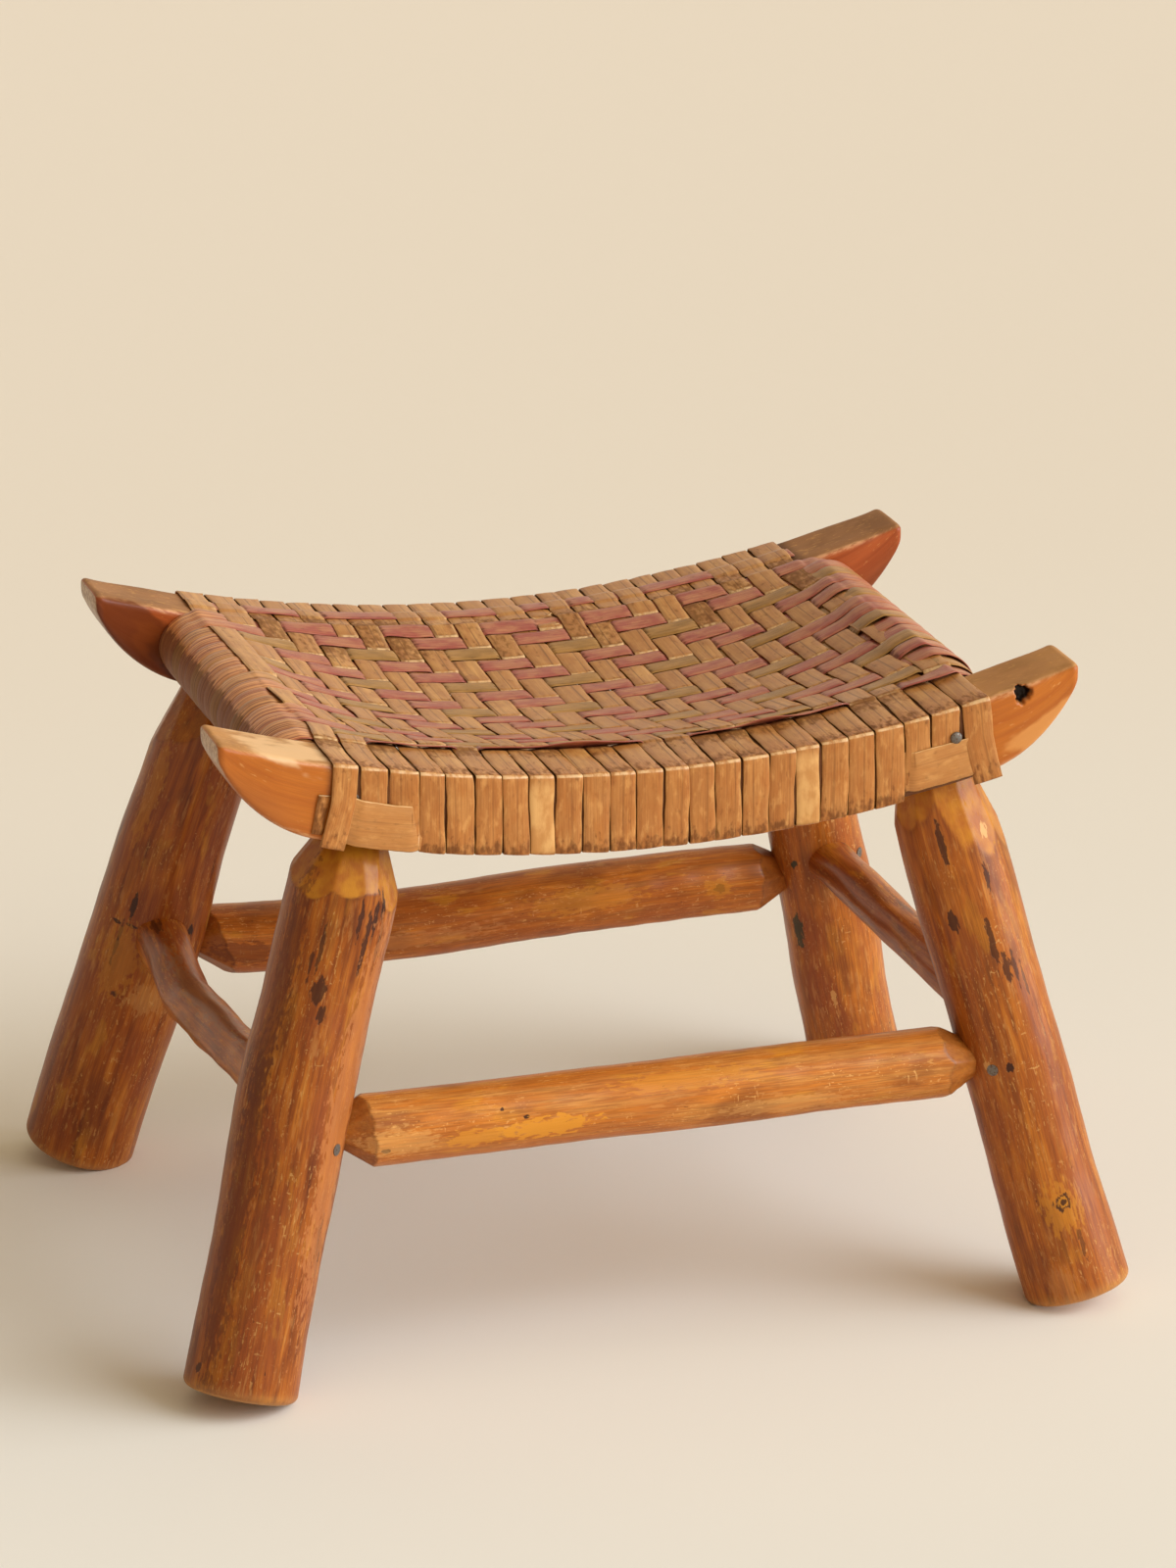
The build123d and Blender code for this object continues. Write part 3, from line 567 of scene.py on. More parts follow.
for leg_name, leg in LEGS.items():
    coat = pole_finish(f"{leg_name}_varnish", leg["seed"], LEG_MARKS[leg_name], leg["radius"],
                       *LEG_LOOK[leg_name])
    dress(f"{leg_name}_leg_wood", f"{leg_name}_leg", leg_rings(leg), coat, "leg_wood")

# %% [markdown]
# The two long stretchers are poles whose ends are whittled like pencils until they fit a bored hole.
# The same nearest-surface idea serves: a lumpy round side, and at each end a ring of slanted planes.

# %% Long stretchers
STRETCHER_Z, STRETCHER_RADIUS, TENON_RADIUS, STRETCHER_FACETS = 151.0, 21.5, 12.5, 10
STRETCHER_BENDS = {
    "front": [
        (0, 0, 0), (30, -0.8, 0.3), (60, -1.3, 0.2), (140, -1.1, 0), (190, -0.5, 0), (245, -0.8, 0.6),
        (290, -0.3, 0.5), (330, 0, 0.2), (460, 0, 0)],
    "back": [
        (0, 0, 0), (25, -1.5, 0.2), (45, -3.8, 0.8), (73, -6.2, 1.4), (120, -7.0, 1.4), (180, -6.8, 1.4),
        (215, -4.8, 1.4), (243, -3.0, 1.3), (280, -2.0, 1.3), (328, -1.1, 1.1), (357, 0.3, 1.0),
        (460, 0, 0)],
}


def stretcher_rings(which, points, seed, around=108):
    """A pole between two legs: nearest of the lumpy side and the planes that slope in at each end."""
    left, right = LEGS[f"{which}_left"], LEGS[f"{which}_right"]
    start, end = leg_line(left, STRETCHER_Z), leg_line(right, STRETCHER_Z)
    front, side, along = pole_axes(start, end)
    length = np.linalg.norm(end - start)
    stations = np.concatenate([np.arange(18, 70, 1.1), np.linspace(70, length - 70, 130),
                               np.arange(length - 69, length - 17, 1.1)])
    grid, turn = ring_grid(stations, around)
    uneven = lumps(turn, grid, seed, 200, 0.35) + lumps(turn, grid, seed + 7, 44, 0.16)
    radius = STRETCHER_RADIUS - 0.4 + uneven + measured(STRETCHER_BENDS[which], 2, stations)[:, None]
    middle = start + stations[:, None] * along
    middle[:, 2] += measured(STRETCHER_BENDS[which], 1, stations)
    direction = spokes(turn, front, side)
    rng = np.random.default_rng(seed)
    whittled = np.full(grid.shape, 1e9)
    for shoulder, run, outward in ((left["radius"] + points[0], points[0], -1.0),
                                   (length - right["radius"] - points[1], points[1], 1.0)):
        facing = facet_angles(rng, STRETCHER_FACETS, 0.2)
        slope = (STRETCHER_RADIUS - TENON_RADIUS) / (run + 2.0) * rng.uniform(0.85, 1.2, STRETCHER_FACETS)
        normals = np.outer(np.cos(facing), front) + np.outer(np.sin(facing), side)
        normals = normals + np.outer(slope, along) * outward
        offsets = normals @ (start + along * shoulder)
        offsets = offsets + STRETCHER_RADIUS * 0.97 * rng.uniform(0.97, 1.02, STRETCHER_FACETS)
        whittled = np.minimum(whittled, to_planes(middle, direction, normals, offsets))
    distance = np.maximum(np.minimum(radius, whittled), 3.0)
    cut = radius - whittled
    masks = np.stack([smooth_step(0.0, 0.4, cut), 0 * cut, 0.4 * np.exp(-((cut - 0.1) / 0.35) ** 2)], -1)
    return *pole_points(middle, direction, distance, turn, grid), masks


FRONT_STRETCHER_MARKS = [
    (-14, 137, 1.8, 1.8, STAIN, 0.95), (-30, 123, 1.3, 1.3, STAIN, 0.9), (16, 52, 1.6, 3.4, STAIN, 0.9),
    (8, 150, 7, 30, PEELED, 0.85), (12, 108, 6, 22, PEELED, 0.6), (-43, 236, 7, 44, YELLOW, 0.45),
    (20, 300, 6, 46, PALE, 0.25), (4, 60, 9, 26, PALE, 0.3)]
BACK_STRETCHER_MARKS = [
    (-6, 373, 2.6, 3.4, STAIN, 0.85), (-6, 373, 7, 10, YELLOW, 0.5), (8, 60, 9, 24, DARK, 0.6),
    (-16, 285, 8, 40, YELLOW, 0.4), (10, 170, 6, 60, TAN, 0.35)]
STRETCHER_FACET_TONES = (screen(158, 92, 38), screen(112, 58, 24))
for name, seed, points, marks, look in (
        ("front", 21, (13.5, 16.5), FRONT_STRETCHER_MARKS, (0.25, 0.45, 1.12, 0.75, 0.6)),
        ("back", 22, (12.5, 16.0), BACK_STRETCHER_MARKS, (0.4, 0.6, 1.08, 0.3, 0.6))):
    coat = pole_finish(f"{name}_stretcher_varnish", seed, marks, STRETCHER_RADIUS, *look,
                       STRETCHER_FACET_TONES)
    made = stretcher_rings(name, points, seed)
    dress(f"{name}_stretcher_wood", f"{name}_stretcher", made, coat, "stretcher_wood")

# %% [markdown]
# The side stretchers are thinner. The left one is a branch with a natural bend and a ridge along it,
# the right one a straight pole. A round profile carried along a curved middle line makes both; the line
# is blurred so that the bend is soft.

# %% A path with soft corners


def softened(track, closed=False, step=1.25, soft=1.4, fine=0.5):
    """A track with rounded corners: sampled finely, blurred along its length with a bell curve, thinned.

    A track's rows are a point's three coordinates and then any other numbers that go with it."""
    track = np.asarray(track, float)
    if closed:
        track = np.vstack([track, track[:1]])
    runs = np.linalg.norm(np.diff(track[:, :3], axis=0), axis=1)
    keep = np.concatenate([[True], runs > 1e-6])
    track, reach = track[keep], np.concatenate([[0.0], np.cumsum(runs[runs > 1e-6])])
    place = np.linspace(0, reach[-1], int(reach[-1] / fine), endpoint=not closed)
    dense = np.stack([np.interp(place, reach, column) for column in track.T], 1)
    half = int(4 * soft / fine)
    bell = np.exp(-0.5 * (np.arange(-half, half + 1) * fine / soft) ** 2)
    before, after = dense[-half:], dense[:half]
    if not closed:
        before, after = 2 * dense[0] - dense[half:0:-1], 2 * dense[-1] - dense[-2:-half - 2:-1]
    padded = np.concatenate([before, dense, after])
    blurred = np.stack([np.convolve(column, bell / bell.sum(), "valid") for column in padded.T], 1)
    pick = slice(None, None, max(1, int(step / fine)))
    return blurred[pick], place[pick]


def unit(vectors):
    """Vectors brought to length 1."""
    return vectors / np.linalg.norm(vectors, axis=1, keepdims=True)


def directions(points, closed=False):
    """The unit direction of travel at each point of a path."""
    ahead = np.roll(points, -1, 0) - np.roll(points, 1, 0)
    if not closed:
        ahead[0], ahead[-1] = points[1] - points[0], points[-1] - points[-2]
    return unit(ahead)


print("softened corner:", softened([[0, 0, 0], [10, 0, 0], [10, 10, 0]])[0][8].round(2))

# %% Side stretchers
SIDE_Z = 168.0


def branch_rings(track, seed, lump, ridge=0.0, around=72):
    """A branch: circles along a soft path, their radius varied by lumps and by one ridge along it."""
    path, reach = softened(track, soft=9.0, step=1.5)
    along = directions(path[:, :3])
    side = unit(np.cross(along, [0.0, 0.0, 1.0]))
    over = np.cross(side, along)
    grid, turn = ring_grid(reach, around)
    uneven = lumps(turn, grid, seed, 110, lump) + lumps(turn, grid, seed + 3, 60, lump * 0.3)
    size = path[:, 3][:, None] + uneven
    off_ridge = np.angle(np.exp(1j * (turn - 0.9 - grid / 240)))
    size = size + ridge * np.exp(-(off_ridge / 0.30) ** 2)
    points, wood = pole_points(path[:, :3], spokes(turn, over[:, None], side[:, None]), size, turn, grid)
    return points, wood, np.zeros_like(points)


def between(first, second, *stops):
    """Rows of a track between two points: each stop is a share of the way and a radius there."""
    return [[*(first + (second - first) * share), radius] for share, radius in stops]


back_end, front_end = leg_line(LEGS["back_left"], SIDE_Z), leg_line(LEGS["front_left"], SIDE_Z)
bend = back_end + (front_end - back_end) * 0.32 + np.array([-6.0, 0.0, -15.0])
branch_track = (between(back_end, bend, (0.12, 17.5), (0.36, 15.6), (1.0, 15.0))
                + between(bend, front_end, (0.55, 14.2), (0.94, 14.6)))
branch_marks = [(10, 150, 9, 90, screen(150, 104, 74), 0.55), (60, 60, 6, 40, DARK, 0.5),
                (20, 30, 4, 9, STAIN, 0.6)]
coat = pole_finish("left_stretcher_varnish", 31, branch_marks, 15.0, 0.6, 0.5, 0.98)
made = branch_rings(branch_track, 31, 0.8, 1.0)
dress("left_stretcher_wood", "left_stretcher", made, coat, "stretcher_wood")

pole_track = between(leg_line(LEGS["back_right"], SIDE_Z), leg_line(LEGS["front_right"], SIDE_Z),
                     (0.04, 14.6), (0.3, 14.2), (0.6, 14.0), (0.96, 13.8))
coat = pole_finish("right_stretcher_varnish", 33, [(150, 250, 4, 22, STAIN, 0.7)], 14.0, 0.5, 0.45, 0.9)
made = branch_rings(pole_track, 33, 0.6)
dress("right_stretcher_wood", "right_stretcher", made, coat, "stretcher_wood")

# %% [markdown]
# The saddle rails were sawn to a curve and rounded by hand. Their section is a rounded rectangle, here
# a superellipse: in every direction the edge lies where the scaled sides, raised to a high power, add
# up to one. Towards each horn the underside climbs a circle until it meets the top.

# %% Saddle rail geometry
ROOT_X, BELLY_X, BELLY_BELOW_TIP, NOSE = 206.0, 242.0, 40.0, 12.0
TIP_Z = float(rail_top(HALF_LENGTH))
TIP_ROUND, KNOT_REACH, KNOT_DEPTH = 4.5, 11.0, 8.0


def circle_through(points):
    """Centre and radius of the circle through three points: two equal-distance equations, solved."""
    (ax, az), (bx, bz), (cx, cz) = points
    steps = np.array([[bx - ax, bz - az], [cx - ax, cz - az]]) * 2
    values = [bx ** 2 - ax ** 2 + bz ** 2 - az ** 2, cx ** 2 - ax ** 2 + cz ** 2 - az ** 2]
    centre = np.linalg.solve(steps, values)
    return centre, math.hypot(ax - centre[0], az - centre[1])


BELLY_CENTRE, BELLY_RADIUS = circle_through(
    [(ROOT_X, float(rail_bottom(ROOT_X))), (BELLY_X, TIP_Z - BELLY_BELOW_TIP), (HALF_LENGTH, TIP_Z - NOSE)])


def horn_bottom(x):
    """The rail's underside: the lower circle, then the belly's circle beyond the horn's root."""
    reach = np.abs(x)
    inside = np.clip(BELLY_RADIUS ** 2 - (reach - BELLY_CENTRE[0]) ** 2, 0, None)
    belly = BELLY_CENTRE[1] - np.sqrt(inside)
    return np.where(reach < ROOT_X, rail_bottom(x), belly)


def rail_rings(y_side, seed, knot=None, around=132):
    """A saddle rail: superellipse sections from horn to horn, hand-worn, with an optional knot hole."""
    half = HALF_LENGTH - 0.02
    tips = half - 14 * (1 - np.cos(np.linspace(0, math.pi / 2, 26)))
    inner = np.arange(-244.5, 244.6, 1.7)
    if knot:
        knot_x, knot_z, knot_radius = knot
        inner = np.concatenate([inner[np.abs(inner - knot_x) > KNOT_REACH],
                                np.arange(knot_x - KNOT_REACH, knot_x + KNOT_REACH, 0.6)])
    x = np.unique(np.round(np.concatenate([-tips, inner, tips]), 3))
    roll = 1 - np.sqrt(1 - np.clip((np.abs(x) - (half - TIP_ROUND)) / TIP_ROUND, 0, 1) ** 2)
    top = rail_top(x) - 3.2 * roll
    bottom = np.minimum(horn_bottom(x) + 3.0 * np.clip(roll * 2 - 1, 0, 1), top - 0.8)
    tall, high = ((top - bottom) / 2)[:, None], ((top + bottom) / 2)[:, None]
    wide = (RAIL_HALF - 1.0 * smooth_step(222, 258, np.abs(x)) - 3.4 * roll)[:, None]
    grid, turn = ring_grid(x, around, 0.001)
    power = 13.0 - 6.5 * smooth_step(215, 256, np.abs(x))[:, None]
    across, up = np.cos(turn), np.sin(turn)
    reach = (np.abs(across / wide) ** power + np.abs(up / tall) ** power) ** (-1 / power)
    reach = reach + (lumps(turn, grid, seed, 70, 0.30) - 0.25) * smooth_step(0.0, 12.0, tall)
    y, z = across * reach, up * reach
    corner = np.minimum(np.abs(y) / wide, np.abs(z) / tall)
    under = smooth_step(204, 236, np.abs(grid)) * smooth_step(0.25, -0.75, up)
    points = np.stack([grid, y + y_side * RAIL_MIDDLE, z + high], -1)
    hole = 0 * grid
    if knot:
        away_x, away_z = grid - knot_x, points[..., 2] - knot_z
        turned = np.arctan2(away_z, away_x)
        ragged = knot_radius * (1 + 0.13 * np.sin(3 * turned + 1) + 0.10 * np.sin(7 * turned))
        hole = smooth_step(1.0, 0.72, np.hypot(away_x, away_z) / ragged) * (y * y_side > 20)
        points[..., 1] -= y_side * hole * KNOT_DEPTH
    return points, np.stack([y, z, grid], -1), np.stack([smooth_step(0.84, 0.95, corner), under, hole], -1)


# %% [markdown]
# The rails' varnish is smoother and more orange than the poles', dusty tan on the worn upper faces,
# redder on the far rail, and pale along the edges of the horns, partly rubbed wear and partly painted
# highlight. Where the weave covers the rails, their wood is painted dark brown: painted shade.

# %% Rail finish and rails
RAIL_BUMP, RAIL_SHINE = 0.00016, 0.14


def rail_finish(name, seed, face, deep, dusty_top, belly, marks=()):
    """Sawn rail: streaks along it, a dusty top found from the surface's own direction, and pale edges,
    partly wear and partly painted highlight; where the weave covers it, painted shade.
    """
    paint = Paint(name)
    wood = paint.attribute("wood")
    edge, under, hole = paint.parts(paint.attribute("finish"))
    grain, cloud, fibre, rubs = (
        paint.grain(wood, (across, across, along), detail, (seed * 13.0, seed * 29.0, seed * 7.0))
        for across, along, detail in ((5.0, 75.0, 4.0), (20.0, 34.0, 3.0), (0.8, 22.0, 2.0), (2.2, 6.0, 3.0)))
    facing = paint.parts(paint.node("NewGeometry", output="Normal"))
    upward = facing[2].step(0.55, 0.93)
    top = paint.mix(cloud.step(0.4, 0.66), dusty_top, tuple(value * 0.74 for value in dusty_top))
    top = paint.mix(rubs.step(0.56, 0.70) * 0.4, top, PALE)
    # Pale along the edges: partly rubbed wear, partly a painted highlight.
    worn_edge_and_highlight = (edge * (rubs.step(0.36, 0.58) * 0.65 + 0.15)).clipped()
    colour = paint.layers(
        paint.mix(grain.step(0.28, 0.66), deep, face), (cloud.step(0.50, 0.70) * 0.30, deep),
        (fibre.step(0.62, 0.40) * 0.12, DARK), ((rubs.step(0.62, 0.72) * cloud.step(0.42, 0.6)) * 0.5, PALE),
        (upward * 0.92, top), (under * 0.8, belly), (worn_edge_and_highlight, screen(224, 164, 120)))
    for place, size, tint, strength in marks:
        colour = paint.mix(paint.spot(wood, place, size, cloud, 0.4) * strength, colour, tint)
    ends = facing[0].maths("ABSOLUTE").step(0.80, 0.96)
    sawn = paint.mix(rubs.step(0.4, 0.6), screen(150, 112, 74), screen(196, 166, 126))
    # Where the weave covers a rail, within about 200 mm of the middle, its wood is painted dark brown:
    # painted shade.
    shaded_under_weave = paint.parts(wood)[2].maths("ABSOLUTE").step(200.0, 190.0)
    colour = paint.layers(
        colour, (ends * 0.75, sawn), (hole.step(0.02, 0.2) * 0.5, screen(128, 70, 30)),
        (hole.step(0.3, 0.7), screen(34, 20, 14)), (shaded_under_weave * 0.85, screen(70, 38, 18)))
    rough = grain * 0.12 + 0.28 + upward * 0.20 + cloud * 0.1
    height = fibre * 0.5 + grain * 0.5 - rubs * 0.2
    return paint.finish(colour, rough, height, RAIL_BUMP, RAIL_SHINE,
                        coat=(1 - upward) * 0.24, coat_rough=0.18)


for side_name, y_side, seed, knot, look in (
        ("front", -1, 41, (224.5, 376.8, 5.6),
         (screen(190, 106, 36), screen(178, 94, 32), screen(192, 136, 84), screen(170, 96, 44),
          # A pale spot over the left horn's top is painted light, and a darker one over the right horn's top
          # is painted shade.
          [((0, 26, -226), (40, 14, 44), screen(228, 182, 136), 0.8),
           ((0, 26, 232), (40, 12, 30), screen(160, 104, 62), 0.3),
           ((-24, -12, 236), (14, 8, 26), screen(222, 152, 84), 0.6)])),
        ("back", 1, 42, None,
         (screen(172, 82, 36), screen(150, 66, 26), screen(158, 110, 72), screen(112, 54, 28),
          [((-24, -6, -228), (14, 30, 44), screen(100, 42, 14), 0.8),
           ((-24, -10, -204), (14, 26, 20), screen(74, 32, 18), 0.75),
           ((-24, -2, -222), (14, 12, 16), screen(150, 74, 24), 0.2)]))):
    coat = rail_finish(f"{side_name}_rail_varnish", seed, *look)
    made = rail_rings(y_side, seed, knot)
    dress(f"{side_name}_rail_wood", f"{side_name}_saddle_rail", made, coat, "rail_wood")
for node in ("left_end_rail", "right_end_rail"):
    plain = Paint(f"{node}_wood")
    position = plain.node("TexCoord", output="Object")
    rail_grain = plain.noise(plain.stretched(position, (240.0, 24.0, 240.0)), 1.0, 4.0)
    tone = plain.mix(rail_grain.step(0.35, 0.65), screen(128, 72, 34), screen(176, 112, 60))
    wood_coat = plain.finish(tone, rail_grain * 0.2 + 0.4, rail_grain, 0.0003)
    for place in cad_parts[node].material_slots:
        place.material = wood_coat
print("end rails keep their CAD solids")

# %% [markdown]
# The seat is a twill. Twenty-four warps wrap the two rails from front to back, and seventeen wefts run
# along the stool over the end rails, each over two warps and under two, one warp further each row.
# The warps lean: they sit further left on the back rail than on the front one. The places where warps
# meet were read off the seat as two lists, and the lines between them are straight with a small bow.
# The first weft lies on the back rail, and it and the last one cross the warps in an order of their own.

# %% The weave's plan
FRONT_LINES = np.array([
    -193.6, -178.1, -161.4, -143.5, -127.8, -110.4, -94, -77.6, -62.4, -45.9, -29.4, -13.4, 3.2, 18.6,
    34.7, 50.8, 67.6, 83.8, 98.8, 115.7, 132.5, 150.7, 167, 185.2, 203.4])
BACK_LINES = np.array([
    -200, -182, -163, -147, -130, -114, -100, -84, -68, -52, -36, -20, -4, 15, 31, 45, 60, 76, 93, 108,
    123, 138, 155, 172, 190.0])
WARPS, WEFTS = 24, 17
ROW_PITCH, ROW_START = 16.1, 121.0
ROW_Y = np.array([150.0] + [ROW_START - ROW_PITCH * row for row in range(WEFTS - 1)])
ROW_EDGES = np.array([158.0, 142.0] + [ROW_START + ROW_PITCH / 2 - ROW_PITCH * row for row in range(WEFTS)])
ROW_COLOURS = "PPPOPPOPPOPPOPPOP"
BACK_ROW = {2, 3, 5, 6, 7, 10, 11, 13, 15, 18, 19, 20}
FRONT_ROW = {2, 3, 4, 6, 7, 8, 9, 10, 11, 14, 15, 16, 17, 18, 19, 22, 23}
THICK, RISE, SPLINT_GAP = 0.75, 0.85, 0.35
CLEAR = SPLINT_GAP + THICK / 2


def warp_line(line, y):
    """Where the edge between two warps lies at y: straight from front to back, with a bow near the front."""
    y = np.asarray(y, float)
    share = np.clip((y + RAIL_INNER) / (2 * RAIL_INNER), 0, 1)
    bow = 4.5 * np.exp(-((y + 96) / 26) ** 2)
    straight = FRONT_LINES[line] * (1 - share) + BACK_LINES[line] * share
    return straight + bow * (1 - (FRONT_LINES[line] + 200) / 520)


def weft_over(warp, row):
    """Whether a weft lies over a warp: two special rows, a few slipped crossings, and the twill's step."""
    if row == 0:
        return warp in BACK_ROW
    if row == WEFTS - 1:
        return warp in FRONT_ROW
    if warp == 0 and row in (5, 6):
        return False
    if warp == WARPS - 1 and row == 7:
        return True
    return (warp - row) % 4 >= 2


def seat_level(x, y):
    """Height halfway between the two layers of the weave."""
    return rail_top(x) + 1.35 - sag(x, y)


OVER = np.array([[weft_over(warp, row) for row in range(WEFTS)] for warp in range(WARPS)])
print("crossings with the weft on top:", OVER.sum(), "of", OVER.size)

# %% [markdown]
# A splint is a thin strip with rounded edges. Its section is a short ring of points: an arched top, two
# edges and a flat underside. The ring is carried along a track whose rows hold the middle line, the
# width, how far one edge is lifted and two finish masks, all blurred together so that they stay smooth.

# %% The splint section
ACROSS = np.array([-1, -0.94, -0.55, 0, 0.55, 0.94, 1, 0.94, 0, -0.94])
SIDE = np.array([0, 0.9, 1, 1, 1, 0.9, 0, -0.9, -1, -0.9])


def rows(*columns):
    """Columns side by side as the rows of a track; a single number is repeated."""
    return np.stack(np.broadcast_arrays(*columns), 1).astype(float)


def splint(name, track, lay, outward, seed, slot, node=None, closed=False):
    """A strip carried along a track: middle + across * half width + normal * (arch, tilt and thickness)."""
    path, reach = softened(track, closed)
    middle, width, tilt, dirt_and_shade_amount, face = path[:, :3], *path[:, 3:].T
    along = directions(middle, closed)
    across = lay(middle)
    across = unit(across - along * np.einsum("ij,ij->i", across, along)[:, None])
    normal = np.cross(across, along) * outward
    wider = wander(reach, seed + 1, 60, 0.35) + wander(reach, seed + 2, 13, 0.16)
    slide = wander(reach, seed + 3, 90, 0.5) + wander(reach, seed + 4, 30, 0.15)
    tilt = tilt + wander(reach, seed + 5, 50, 0.28)
    if closed:
        blend = smooth_step(0, 12, reach) * smooth_step(reach[-1], reach[-1] - 12, reach)
        wider, slide, tilt = wider * blend, slide * blend, tilt * blend
    height = ACROSS * tilt[:, None] + 0.28 * (1 - ACROSS ** 2) * (SIDE > -0.5) + SIDE * THICK / 2
    place = ACROSS * (width + wider)[:, None] / 2 + slide[:, None]
    rings = middle[:, None] + across[:, None] * place[..., None] + normal[:, None] * height[..., None]
    wood = np.stack(np.broadcast_arrays(place, seed * 9.0 + 2.0 * (SIDE < 0), reach[:, None]), -1)
    masks = np.stack(np.broadcast_arrays(np.abs(ACROSS), dirt_and_shade_amount[:, None], face[:, None]), -1)
    return skin(name, rings, wood, masks, COATS[slot], slot, node, closed)


print("splint ring of", len(ACROSS), "points")

# %% [markdown]
# Splint finish: fine fibres along the strip, clouds of dirt that also carry painted shade where strips
# cross and where the left wraps turn down, darker dirt in patches, and edges painted lighter as a
# highlight. The dyed wefts also fade to tan where they are rubbed, and the plain warps are painted pale
# where they bend over the front edge, partly rubbed wear and partly a painted highlight.

# %% Splint finish
SPLINT_BUMP, SPLINT_SHINE = 0.00018, 0.2


def splint_finish(name, tones, edge_highlight_tone, dirt_and_shade_tone, dye=None):
    """Wood splint: three tones mixed by streaks and clouds, a dye that fades, dirt that also carries
    painted shade, and edges painted lighter as a highlight.

    The mask face is 1 where a strip is rubbed on a rail's face or wound round an end, 2 where it is bare."""
    paint = Paint(name)
    wood = paint.attribute("wood")
    edge, dirt_and_shade_amount, face = paint.parts(paint.attribute("finish"))
    bare, face = (face - 1).clipped(), face.maths("MINIMUM", 1.0)
    fibre = paint.grain(wood, (1.0, 1.0, 26.0), 4.0, rough=0.65)
    band, cloud = paint.grain(wood, (3.2, 1.0, 85.0)), paint.grain(wood, (9.0, 1.0, 17.0), 4.0)
    blot = paint.grain(wood, (3.2, 1.0, 6.0), 5.0, (3.0, 7.0, 2.0))
    strip = paint.noise(paint.stretched(wood, (0.0, 1.0, 0.0)), 0.37, 0.0)
    light, middle, dark = tones
    colour = paint.layers(
        paint.mix(cloud.step(0.36, 0.62), middle, light), (band.step(0.60, 0.38) * 0.34, dark),
        (fibre.step(0.54, 0.38) * 0.22, dark), (strip.step(0.38, 0.64) * 0.5, paint.mix(0.35, middle, dark)))
    if dye:
        strong, faded = dye
        rubbed = (cloud.step(0.40, 0.60) * 0.7 + fibre.step(0.46, 0.62) * 0.25).clipped()
        dyed = paint.layers(strong, (rubbed, faded),
                            (fibre.step(0.58, 0.40) * 0.35, tuple(value * 0.55 for value in strong)))
        wound = paint.grain(wood, (1.5, 1.0, 120.0), 3.0, (5.0, 1.0, 8.0), 0.6)
        bands = paint.ramp(wound, [(0.33, screen(72, 32, 16)), (0.40, screen(152, 72, 50)),
                                   (0.48, screen(204, 130, 80)), (0.57, screen(232, 164, 102))])
        hue = paint.grain(wood, (4.0, 1.0, 90.0), 1.0, (2.0, 6.0, 4.0))
        colour = paint.layers(
            colour, (0.94 - blot.step(0.56, 0.68) * 0.22, dyed), (face * 0.8, bands),
            (face * hue.step(0.42, 0.58) * 0.35, paint.mix(wound.step(0.42, 0.58), dark, middle)))
    # Darker where the track's mask and the blots are high: dirt in patches, and painted shade where strips
    # cross and where the left wraps turn down.
    dirt_and_shade_mask = (dirt_and_shade_amount + blot * 2.3 - 1.62).step(0.0, 0.6)
    colour = paint.layers(colour, (dirt_and_shade_mask * 0.72, dirt_and_shade_tone),
                          ((blot.step(0.57, 0.66) * cloud.step(0.56, 0.40)) * 0.38, dirt_and_shade_tone))
    if not dye:
        rubbed = paint.mix(fibre.step(0.3, 0.7), screen(158, 86, 34), screen(196, 118, 54))
        scuffs = paint.grain(wood, (4.2, 1.0, 11.0), 5.0, (9.0, 4.0, 6.0))
        clean = paint.mix(cloud.step(0.4, 0.6), screen(216, 160, 98), screen(196, 134, 74))
        turned = (strip - 0.5) * 34.0 + (band - 0.5) * 3.0
        split = (paint.parts(wood)[0] - turned).maths("ABSOLUTE").step(0.65, 0.2) * (1 - bare)
        facing = paint.parts(paint.node("NewGeometry", output="Normal"))
        # Where a warp turns over the front edge it is painted pale: partly rubbed wear, partly a painted
        # highlight.
        bend = facing[2].step(0.97, 0.86) * facing[2].step(0.20, 0.45) * facing[1].step(-0.1, -0.35)
        colour = paint.layers(
            colour, (face * 0.45, rubbed),
            (scuffs.step(0.50, 0.70) * (face * 0.32 + 0.1), screen(222, 160, 92)),
            (dirt_and_shade_mask * face * 0.7, dirt_and_shade_tone), (bare, clean), (split * (0.6 - face * 0.3), dirt_and_shade_tone),
            (bend * (blot.step(0.36, 0.60) * 0.55 + 0.15), screen(238, 194, 144)))
    # Every strip's edges are painted lighter: a painted highlight.
    colour = paint.mix(edge.step(0.93, 1.0) * 0.55, colour, edge_highlight_tone)
    rough = cloud * 0.22 + 0.36 - 0.04 + dirt_and_shade_mask * 0.16
    height = fibre * 0.7 + band * 0.5 - dirt_and_shade_mask * 0.25
    return paint.finish(colour, rough, height, SPLINT_BUMP, SPLINT_SHINE,
                        coat=(1 - dirt_and_shade_mask) * 0.26, coat_rough=0.24)


SPLINT_TONES = {
    "golden_splint": ((screen(200, 142, 80), screen(178, 114, 56), screen(132, 74, 32)),
                      screen(206, 152, 88), screen(104, 58, 24)),
    "pink_splint": ((screen(188, 128, 82), screen(172, 104, 68), screen(120, 58, 40)),
                    screen(170, 78, 70), screen(84, 40, 24), (screen(160, 74, 64), screen(186, 120, 86))),
    "olive_splint": ((screen(182, 134, 74), screen(160, 108, 54), screen(106, 66, 30)),
                     screen(190, 140, 74), screen(92, 58, 26), (screen(148, 102, 46), screen(178, 126, 68))),
}
COATS = {slot: splint_finish(slot, *tones) for slot, tones in SPLINT_TONES.items()}
print("splint finishes:", list(COATS))

